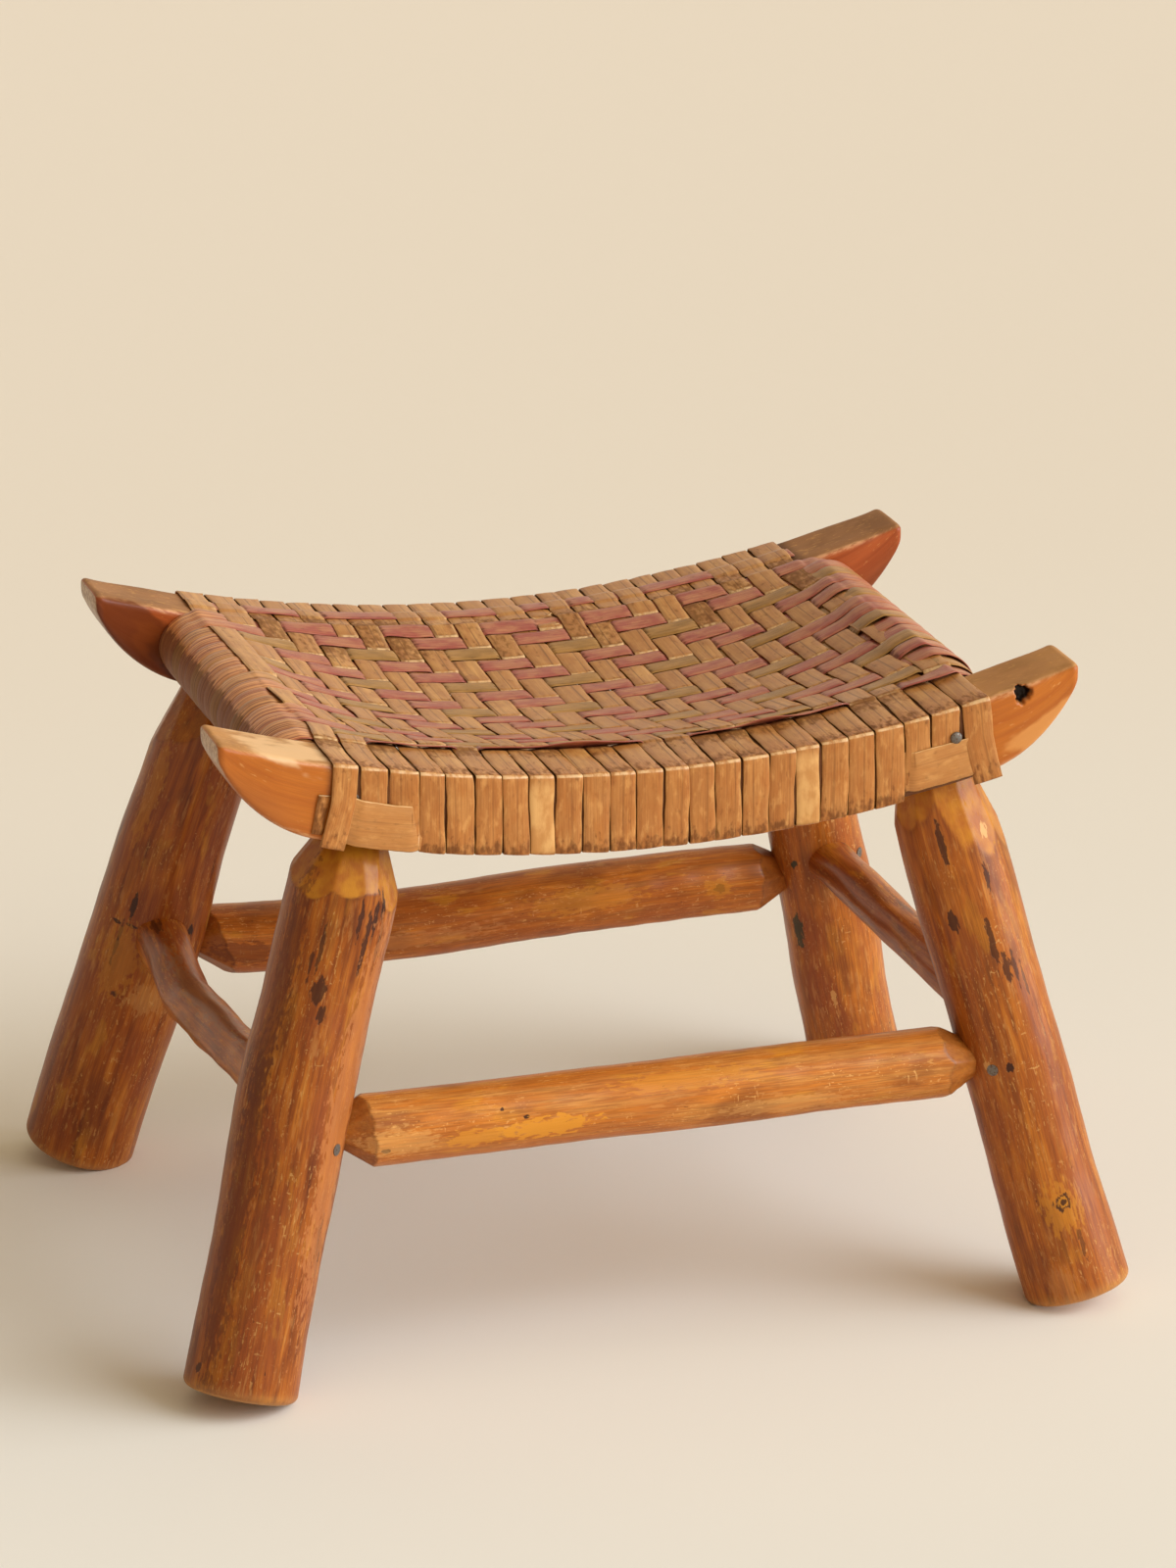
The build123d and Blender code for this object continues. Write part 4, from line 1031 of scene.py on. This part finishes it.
# %% [markdown]
# A warp's track goes over both rails and the weave, down the back, under both rails and up the front.
# It sits on the rails, and over the open seat it steps above or below each weft. The six warps over the
# legs stop at the rails' lower edges. The steps are written as they are; the blur makes them bends. One
# warp is torn narrow just inside the back rail, and two show bare wood on the front.

# %% Warps
WALL = RAIL_OUTER + CLEAR
CUT_WARPS, BARE_WARPS, TORN_WARP = (0, 1, 2, 21, 22, 23), (7, 17), 13
LEANING, LEAN_PROUD, LEAN_ABOVE = {0: -10.0, 23: 9.0}, 0.17, 0.22
WARP_CRACK, TORN_AWAY, CUT_SHORT, UNDER_HANG = 0.7, 7.0, 8.0, 0.9


def crossings(sign):
    """Where a strip changes from over to under: the steps of its sign, spread over nine places."""
    return np.convolve(np.abs(np.diff(sign, prepend=sign[0])), np.hanning(9), "same")


def warp_track(warp):
    """A warp's rows: front edge, rail top, weave, back edge, and the way back underneath."""
    y = np.arange(-RAIL_OUTER + 0.5, RAIL_OUTER - 0.4, 0.5)
    left, right = warp_line(warp, y), warp_line(warp + 1, y)
    x = (left + right) / 2
    row = np.searchsorted(-ROW_EDGES, -y) - 1
    in_row = (row >= 0) & (row != 1) & (row < WEFTS + 1)
    index = np.clip(np.where(row >= 2, row - 1, 0), 0, WEFTS - 1)
    sign = np.where(OVER[warp][index], -1.0, 1.0)
    on_rail = np.abs(y) > RAIL_INNER - 0.5
    flat = rail_top(x) + CLEAR
    level = np.where(on_rail & (row != 0), flat, seat_level(x, y) + RISE * sign)
    level = np.where(row == 0, flat + 0.15 + np.where(sign > 0, 0.9, 0.0), level)
    level = np.where(in_row | on_rail, level, flat)
    rng = np.random.default_rng(warp + 300)
    back_patch = smooth_step(60, 96, y) * smooth_step(150, 136, y) * rng.choice([0.1, 0.4, 0.6])
    front_patch = smooth_step(-150, -140, y) * smooth_step(-118, -130, y) * rng.choice([0.1, 0.35, 0.6])
    dirt_and_shade_amount = 0.12 + 0.25 * rng.random() + back_patch + front_patch + 0.45 * smooth_step(-158, -172, y)
    # Darker just where the warp changes between over and under: painted shade between the strips.
    dirt_and_shade_amount = dirt_and_shade_amount + 0.42 * crossings(np.where(on_rail, 0.0, sign))
    torn = smooth_step(RAIL_INNER - 12, RAIL_INNER - 8, y) * smooth_step(RAIL_INNER + 2, RAIL_INNER - 1, y)
    torn = torn * (warp == TORN_WARP)
    width = right - left - WARP_CRACK - TORN_AWAY * torn
    over = rows(x + 3.0 * torn, y, level - 1.6 * torn, width, 0, dirt_and_shade_amount, smooth_step(-150, -176, y))
    tilt = rng.uniform(-0.45, 0.45)

    def front(lean, out, z, face, dirt_and_shade_amount=0.12):
        """A row on the front face."""
        return [x[0] + lean, -out, z, width[0], tilt, dirt_and_shade_amount, face]

    def back(z, face):
        """A row on the back face."""
        return [x[-1], WALL, z, width[-1], tilt, 0.12, face]

    low_front, low_back = float(rail_bottom(x[0])), float(rail_bottom(x[-1]))
    if warp in CUT_WARPS:
        lean = LEANING.get(warp, 0.0)
        proud = WALL + abs(lean) * LEAN_PROUD
        low_front = low_front - 0.6 if lean else low_front + CUT_SHORT
        start = [front(lean, proud, low_front, 1.0, 0.7),
                 front(lean * LEAN_ABOVE, proud - 0.3, low_front + 27.0, 1.0),
                 front(0, WALL, flat[0], 1.0, 0.5)]
        stop = [back(flat[-1], 0.6), back(low_back + (1.0 if lean else CUT_SHORT), 0.6)]
        return np.vstack([start, over, stop]), False
    under_y = np.arange(WALL - 0.5, -WALL + 0.4, -0.5)
    share = (under_y + WALL) / (2 * WALL)
    under_x = x[0] * (1 - share) + x[-1] * share
    step = np.where(((np.floor((ROW_START - under_y) / ROW_PITCH) + warp) % 4) < 2, RISE, -RISE)
    hang = np.where(np.abs(under_y) < RAIL_INNER - 10, UNDER_HANG - step, 0.0)
    under = rows(under_x, under_y, rail_bottom(under_x) - CLEAR - hang,
                 width[0] * (1 - share) + width[-1] * share, 0, 0.2, 0.3)
    worn = 2.0 if warp in BARE_WARPS else 1.0
    start = [front(0, WALL, low_front - CLEAR, worn, 1.0), front(0, WALL, low_front + 11.0, worn, 0.3),
             front(0, WALL, flat[0] - 8.0, worn), front(0, WALL, flat[0], 1.0, 0.35)]
    stop = [back(flat[-1], 0.6), back(low_back - CLEAR, 0.5)]
    return np.roll(np.vstack([start, over, stop, under]), len(under) // 2, axis=0), True


def lay_of_warp(middle):
    """A warp lies across the saddle: along X, rising with the rail's slope and with the sag's on top."""
    x, y = middle[:, 0], middle[:, 1]
    on_top = middle[:, 2] > rail_bottom(x) + 20
    slope = x / np.sqrt(SADDLE_RADIUS ** 2 - x ** 2) + (sag(x - 1, y) - sag(x + 1, y)) / 2 * on_top
    return np.stack([np.ones(len(middle)), 0 * slope, slope], 1)


for warp in range(WARPS):
    track, closed = warp_track(warp)
    node = f"warp_splint_{warp + 1:02d}"
    piece = splint(f"{node}_strip", track, lay_of_warp, 1.0, 11 * warp + 5, "golden_splint", node, closed)
print("warps:", WARPS, "with", len(piece.data.polygons), "faces in the last")

# %% [markdown]
# A weft's track crosses the seat the other way, wraps each end rail in an arc and, except for the
# outermost rows, comes back underneath. At the left end the wefts are crowded, so they are wider than
# their pitch there and each tilts up onto its neighbour. The front row bulges out between its tucks.

# %% Wefts
END_Z = float(rail_top(END_RAIL_X)) - END_RAIL_DROP - END_RAIL_RADIUS
SWELL, ON_RAIL, WEFT_GAP, WEFT_LIFT, TUCKED_TURN = 3.5, 0.9, 0.55, 0.55, math.radians(128)
WEFT_WIDTH, WIDER_LEFT, WIDER_RIGHT = 14.7, 2.4, 0.9
RETURN_X, WARP_START, WARP_PITCH = 140.0, -193.0, 16.5


def weft_track(row):
    """A weft's rows: round the left end rail, over the seat, round the right end rail and back."""
    y0 = ROW_Y[row]
    x = np.arange(-199.0, 199.1, 0.5)
    lines = np.array([warp_line(line, y0) for line in range(WARPS + 1)])
    cell = np.clip(np.searchsorted(lines, x) - 1, 0, WARPS - 1)
    outside = (x < lines[0]) | (x > lines[-1])
    sign = np.where(OVER[cell, row], 1.0, -1.0)
    level = np.where(outside, rail_top(x) + ON_RAIL, seat_level(x, y0) + RISE * sign)
    swell = SWELL * (1.0 if 1 < row < 15 else 0.5 if row == 15 else 0.1)
    level = level + swell * smooth_step(176, 199, x)
    if row == 0:
        level = np.where(outside, rail_top(x) + 0.8, rail_top(x) + ON_RAIL + np.where(sign > 0, 0.95, 0.0))
    rng = np.random.default_rng(row + 700)
    left_end, right_end = smooth_step(-172, -200, x), smooth_step(180, 200, x)
    width = WEFT_WIDTH + WIDER_LEFT * left_end + WIDER_RIGHT * right_end + rng.uniform(-0.25, 0.25)
    tilt = left_end * WEFT_LIFT + rng.uniform(-0.1, 0.1)
    y = y0 + 0 * x
    if row == WEFTS - 1:
        float_over = np.convolve(np.where(sign > 0, 1.0, 0.0), np.ones(25) / 25, "same")
        gap = np.exp(-((x + 32) / 24) ** 2) + np.exp(-((x - 82) / 17) ** 2)
        y, level = y - 4.0 * float_over - 2.0 * gap, level + float_over * 0.9 + gap * 1.2
        tilt, width = tilt - float_over * 0.9 - gap * 1.6, width - 1.2 * float_over
    # Darker just where the weft changes between over and under: painted shade between the strips.
    over = rows(x, y, level, width, tilt, 0.10 + 0.2 * rng.random() + 0.42 * crossings(sign), left_end * 0.9)
    if row == 0:
        return over[(x > -198) & (x < 193)], False
    radius = END_RAIL_RADIUS + WEFT_GAP + THICK / 2
    returns = 1 < row < WEFTS - 1
    turn = np.linspace(0.12, math.pi if returns else TUCKED_TURN, 34)
    wider = radius + swell
    right_arc = rows(END_RAIL_X + wider * np.sin(turn), y0, END_Z + wider * np.cos(turn),
                     15.6, 0.0, 0.2, 0.35)
    # The left wraps darken as they turn down round the end rail: painted shade.
    left_arc = rows(-END_RAIL_X - radius * np.sin(turn), y0, END_Z + radius * np.cos(turn), 17.0, 0.5,
                    0.1 + 1.35 * smooth_step(0.55, 1.2, turn), 1.0)[::-1]
    if not returns:
        return np.vstack([left_arc, over, right_arc]), False
    under_x = np.arange(RETURN_X, -RETURN_X - 0.1, -0.5)
    step = np.where(((np.floor((under_x - WARP_START) / WARP_PITCH) + row) % 4) < 2, -RISE, RISE)
    under = rows(under_x, y0, rail_bottom(under_x) - 1.6 + step, 14.6, 0, 0.2, 0)
    return np.roll(np.vstack([left_arc, over, right_arc, under]), len(under) // 2, axis=0), True


def lay_of_weft(middle):
    """A weft lies across the seat: along Y, tilted to the slope of the sag there."""
    x, y = middle[:, 0], middle[:, 1]
    on_top = (middle[:, 2] > rail_bottom(np.clip(x, -259, 259)) + 20) & (np.abs(x) < 196)
    slope = (sag(x, y - 1) - sag(x, y + 1)) / 2 * on_top
    return np.stack([0 * x, np.ones(len(x)), slope], 1)


DYES = {"P": "pink_splint", "O": "olive_splint"}
for row in range(WEFTS):
    track, closed = weft_track(row)
    node = f"weft_splint_{row + 1:02d}"
    slot = DYES[ROW_COLOURS[row]]
    piece = splint(f"{node}_strip", track, lay_of_weft, -1.0, 13 * row + 507, slot, node, closed)
print("wefts:", WEFTS, "with", len(piece.data.polygons), "faces in the last")

# %% [markdown]
# On the outer faces of the rails, a short wide strip is tucked flat between the cut warps at each of the
# four corners. Each shows in front of the warps that it crosses and disappears behind the ones at its
# ends. A last short end hangs down just left of the first warp.

# %% Tucked strips
TUCKED = [("front", -190, -141, -1.0, 28.0, 0.6), ("front", 150, 203, -1.0, 24.5, 4.8),
          ("back", -189, -150, 1.0, 24.0, 2.5), ("back", 150, 196, 1.0, 24.0, 2.5)]
SHORT_END_X, SHORT_END_TOP, SHORT_END_DROP, SHORT_END_LEAN = -198.6, 357.0, 23.0, 0.217


def tucked_track(left, right, side, height, rise):
    """A strip along a rail's face, in front of the warps it crosses and behind the ones at its ends."""
    x = np.arange(left, right + 0.1, 0.5)
    near_end, far_end, outer = (right, left, -1.0) if left < 0 else (left, right, 1.0)
    shown = smooth_step(3.0, 7.0, np.abs(x - near_end)) * smooth_step(3.0, 13.0, (far_end - x) * outer)
    middle = rail_bottom(x) + rise + height / 2 - 1.2 * shown
    return rows(x, side * (WALL - 0.35 + 1.45 * shown), middle, height - 0.5, 0.25, 0.3, 1.3)


def upright(middle):
    """The strip's width stands upright."""
    return np.tile([0.0, 0.0, 1.0], (len(middle), 1))


def lengthwise(middle):
    """The strip's width lies along the stool."""
    return np.tile([1.0, 0.0, 0.0], (len(middle), 1))


for number, (rail, left, right, side, height, rise) in enumerate(TUCKED):
    name = f"{rail}_{'left' if left < 0 else 'right'}_tucked_strip"
    track = tucked_track(left, right, side, height, rise)
    splint(name, track, upright, -side, 41 * number + 903, "golden_splint")
drop = np.linspace(0, SHORT_END_DROP, 20)
short_end = rows(SHORT_END_X - SHORT_END_LEAN * drop, 0.1 - WALL, SHORT_END_TOP - drop, 7.0, 0.1, 0.8, 1.0)
splint("front_left_short_end", short_end, lengthwise, 1.0, 77, "golden_splint")
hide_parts("binder_splints")

# %% [markdown]
# Small steel nails hold the stretchers and the leg tops, and one sits in the front rail. The CAD model
# already has the heads in the stretchers and the leg tops, so those only need dull, slightly rusty
# steel. The front rail's nail head is made here.

# %% Nails
NAIL_X, NAIL_Z, NAIL_RADIUS, NAIL_RISE = 182.5, 354.7, 3.6, 1.7


def steel_finish(name):
    """Dull steel: grey metal with rust in blotches and a rough skin."""
    paint = Paint(name)
    blotch = paint.noise(paint.node("TexCoord", output="Object"), 900.0, 4.0)
    colour = paint.mix(blotch.step(0.50, 0.66), screen(120, 112, 104), screen(96, 56, 32))
    return paint.finish(colour, blotch * 0.4 + 0.3, blotch, 0.0002, metallic=0.75)


STEEL = steel_finish("nail_steel")
for node in ("stretcher_nails", "leg_tenon_nails"):
    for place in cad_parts[node].material_slots:
        place.material = STEEL


def nail_head(name, centre, radius, rise):
    """A domed head facing the front: rings that shrink along a quarter circle."""
    angle, turn = np.meshgrid([-0.25, *np.linspace(0.05, math.pi / 2 - 0.12, 7)],
                              np.linspace(0, 2 * math.pi, 24, endpoint=False), indexing="ij")
    out = radius * np.cos(np.maximum(angle, 0))
    rings = np.stack([centre[0] + out * np.cos(turn), centre[1] - rise * np.sin(angle),
                      centre[2] + out * np.sin(turn)], -1)
    return skin(name, rings, rings * 0, rings * 0, STEEL, "nail_steel")


print(nail_head("front_rail_nail_head", (NAIL_X, -WALL - 0.9, NAIL_Z), NAIL_RADIUS, NAIL_RISE).name)

# %% [markdown]
# The stage is one pale sweep: a floor that curves up into a backdrop, so that no line shows behind the
# stool. Its colour is written straight into a plain matt material, a little whiter towards the camera,
# and it keeps the stool's shadow.

# %% Floor and backdrop
STAGE_HALF_WIDTH, STAGE_FRONT, STAGE_BACK, STAGE_HEIGHT, STAGE_BEND = 14.0, -9.0, 14.0, 7.0, 3.0


def sweep_mesh(name, across=9):
    """A floor in metres from front to back, a quarter circle of the bend's radius, and a wall."""
    floor = [(y, 0.0) for y in np.linspace(STAGE_FRONT, STAGE_BACK - STAGE_BEND, 12)]
    curve = [(STAGE_BACK - STAGE_BEND + STAGE_BEND * math.sin(a), STAGE_BEND - STAGE_BEND * math.cos(a))
             for a in np.linspace(0.1, 1.57, 14)]
    profile = floor + curve + [(STAGE_BACK, STAGE_HEIGHT)]
    points = [(x, y, z) for y, z in profile for x in np.linspace(-STAGE_HALF_WIDTH, STAGE_HALF_WIDTH, across)]
    corners = [row * across + column for row in range(len(profile) - 1) for column in range(across - 1)]
    faces = [(corner, corner + 1, corner + across + 1, corner + across) for corner in corners]
    mesh = bpy.data.meshes.new(name)
    mesh.from_pydata(points, [], faces)
    mesh.polygons.foreach_set("use_smooth", np.ones(len(faces), bool))
    return mesh


paint = Paint("pale_sweep")
place = paint.node("TexCoord", output="Object")
far = (paint.parts(place)[1] + paint.noise(place, 0.8) * 0.6).step(-0.5, 2.0)
pale = paint.mix(far, screen(238, 228, 222), screen(232, 216, 203))
matt = paint.node("BsdfDiffuse", {"Color": pale})
paint.node("OutputMaterial", {0: matt})
sweep = bpy.data.objects.new("pale_sweep", sweep_mesh("pale_sweep"))
sweep.data.materials.append(paint.material)
bpy.context.scene.collection.objects.link(sweep)
print("stage:", sweep.name)

# %% [markdown]
# The feet's shadows run back and to the left, warm and dark at the feet and soft further off, and the
# floor under the seat stays light. So the lamps are low and wide: a key light from the front right, a
# second one from the right, a weak higher one that gives the shadows their core, and a warm studio air
# that is brighter on the lamps' side. Together they light a white card about white. Where a ray meets
# nothing, the camera and anything shiny see the backdrop's colour.

# %% Lights


def soft_lamp(name, toward, strength, angle, tint):
    """Parallel light that comes from a direction, softened as if its source were that many degrees wide."""
    lamp = bpy.data.lights.new(name, "SUN")
    lamp.energy, lamp.angle, lamp.color = strength, math.radians(angle), tint
    holder = bpy.data.objects.new(name, lamp)
    holder.rotation_euler = Vector(toward).to_track_quat("Z", "Y").to_euler()
    bpy.context.scene.collection.objects.link(holder)
    return holder


DAYLIGHT = (0.76, 0.90, 1.0)
soft_lamp("key_light", (0.62, -0.50, 0.42), 1.85, 46, DAYLIGHT)
soft_lamp("side_light", (0.92, -0.30, 0.28), 1.95, 50, DAYLIGHT)
soft_lamp("high_light", (0.54, -0.585, 0.73), 0.30, 26, DAYLIGHT)
world = bpy.data.worlds.new("studio_air")
air = Paint("studio_air", world)
toward = air.parts(air.node("TexCoord", output="Generated"))
bright_side = (toward[0] * 0.70 - toward[1] * 0.62 + toward[2] * 0.30).step(-0.75, 0.95)
glow = air.node("Background", {"Color": (1.0, 0.87, 0.56), "Strength": bright_side * 0.97})
plain_air = air.node("Background", {"Color": screen(230, 213, 188), "Strength": 1.0})
seen = air.node("LightPath", output="Is Camera Ray")
for ray in ("Is Glossy Ray", "Is Transmission Ray"):
    seen = seen.maths("MAXIMUM", air.node("LightPath", output=ray))
air.node("OutputWorld", {0: air.node("MixShader", {0: seen, 1: glow, 2: plain_air})})
bpy.context.scene.world = world
bpy.context.scene.view_settings.view_transform = "Standard"
print("lights:", [lamp.name for lamp in bpy.data.lights])

# %% [markdown]
# The camera stands where the photographer stood: a long lens, turned a little to the right and looking
# down. Its place was found from the corners of the stool, so it is written out rather than aimed.

# %% Camera
CAMERA_PLACE = np.array([-1064.7, -3516.1, 1508.7])
YAW, PITCH, ROLL = 0.29720, 0.32095, -0.00188
FOCAL, PICTURE_WIDTH, SENSOR = 6523.5, 1200, 36.0
ahead = Vector((math.sin(YAW) * math.cos(PITCH), math.cos(YAW) * math.cos(PITCH), -math.sin(PITCH)))
right = Vector((math.cos(YAW), -math.sin(YAW), 0.0))
above = right.cross(ahead)
right, above = (right * math.cos(ROLL) + above * math.sin(ROLL),
                above * math.cos(ROLL) - right * math.sin(ROLL))
lens = bpy.data.cameras.new("photo_camera")
lens.sensor_fit, lens.sensor_width, lens.lens = "HORIZONTAL", SENSOR, FOCAL / PICTURE_WIDTH * SENSOR
lens.clip_start, lens.clip_end = 0.1, 100.0
camera = bpy.data.objects.new("photo_camera", lens)
turned = Matrix((right, above, -ahead)).transposed().to_4x4()
camera.matrix_world = Matrix.Translation(Vector(CAMERA_PLACE / 1000 + SEAT_MIDDLE)) @ turned
bpy.context.scene.collection.objects.link(camera)
bpy.context.scene.camera = camera
print("lens in millimetres:", round(lens.lens, 1))
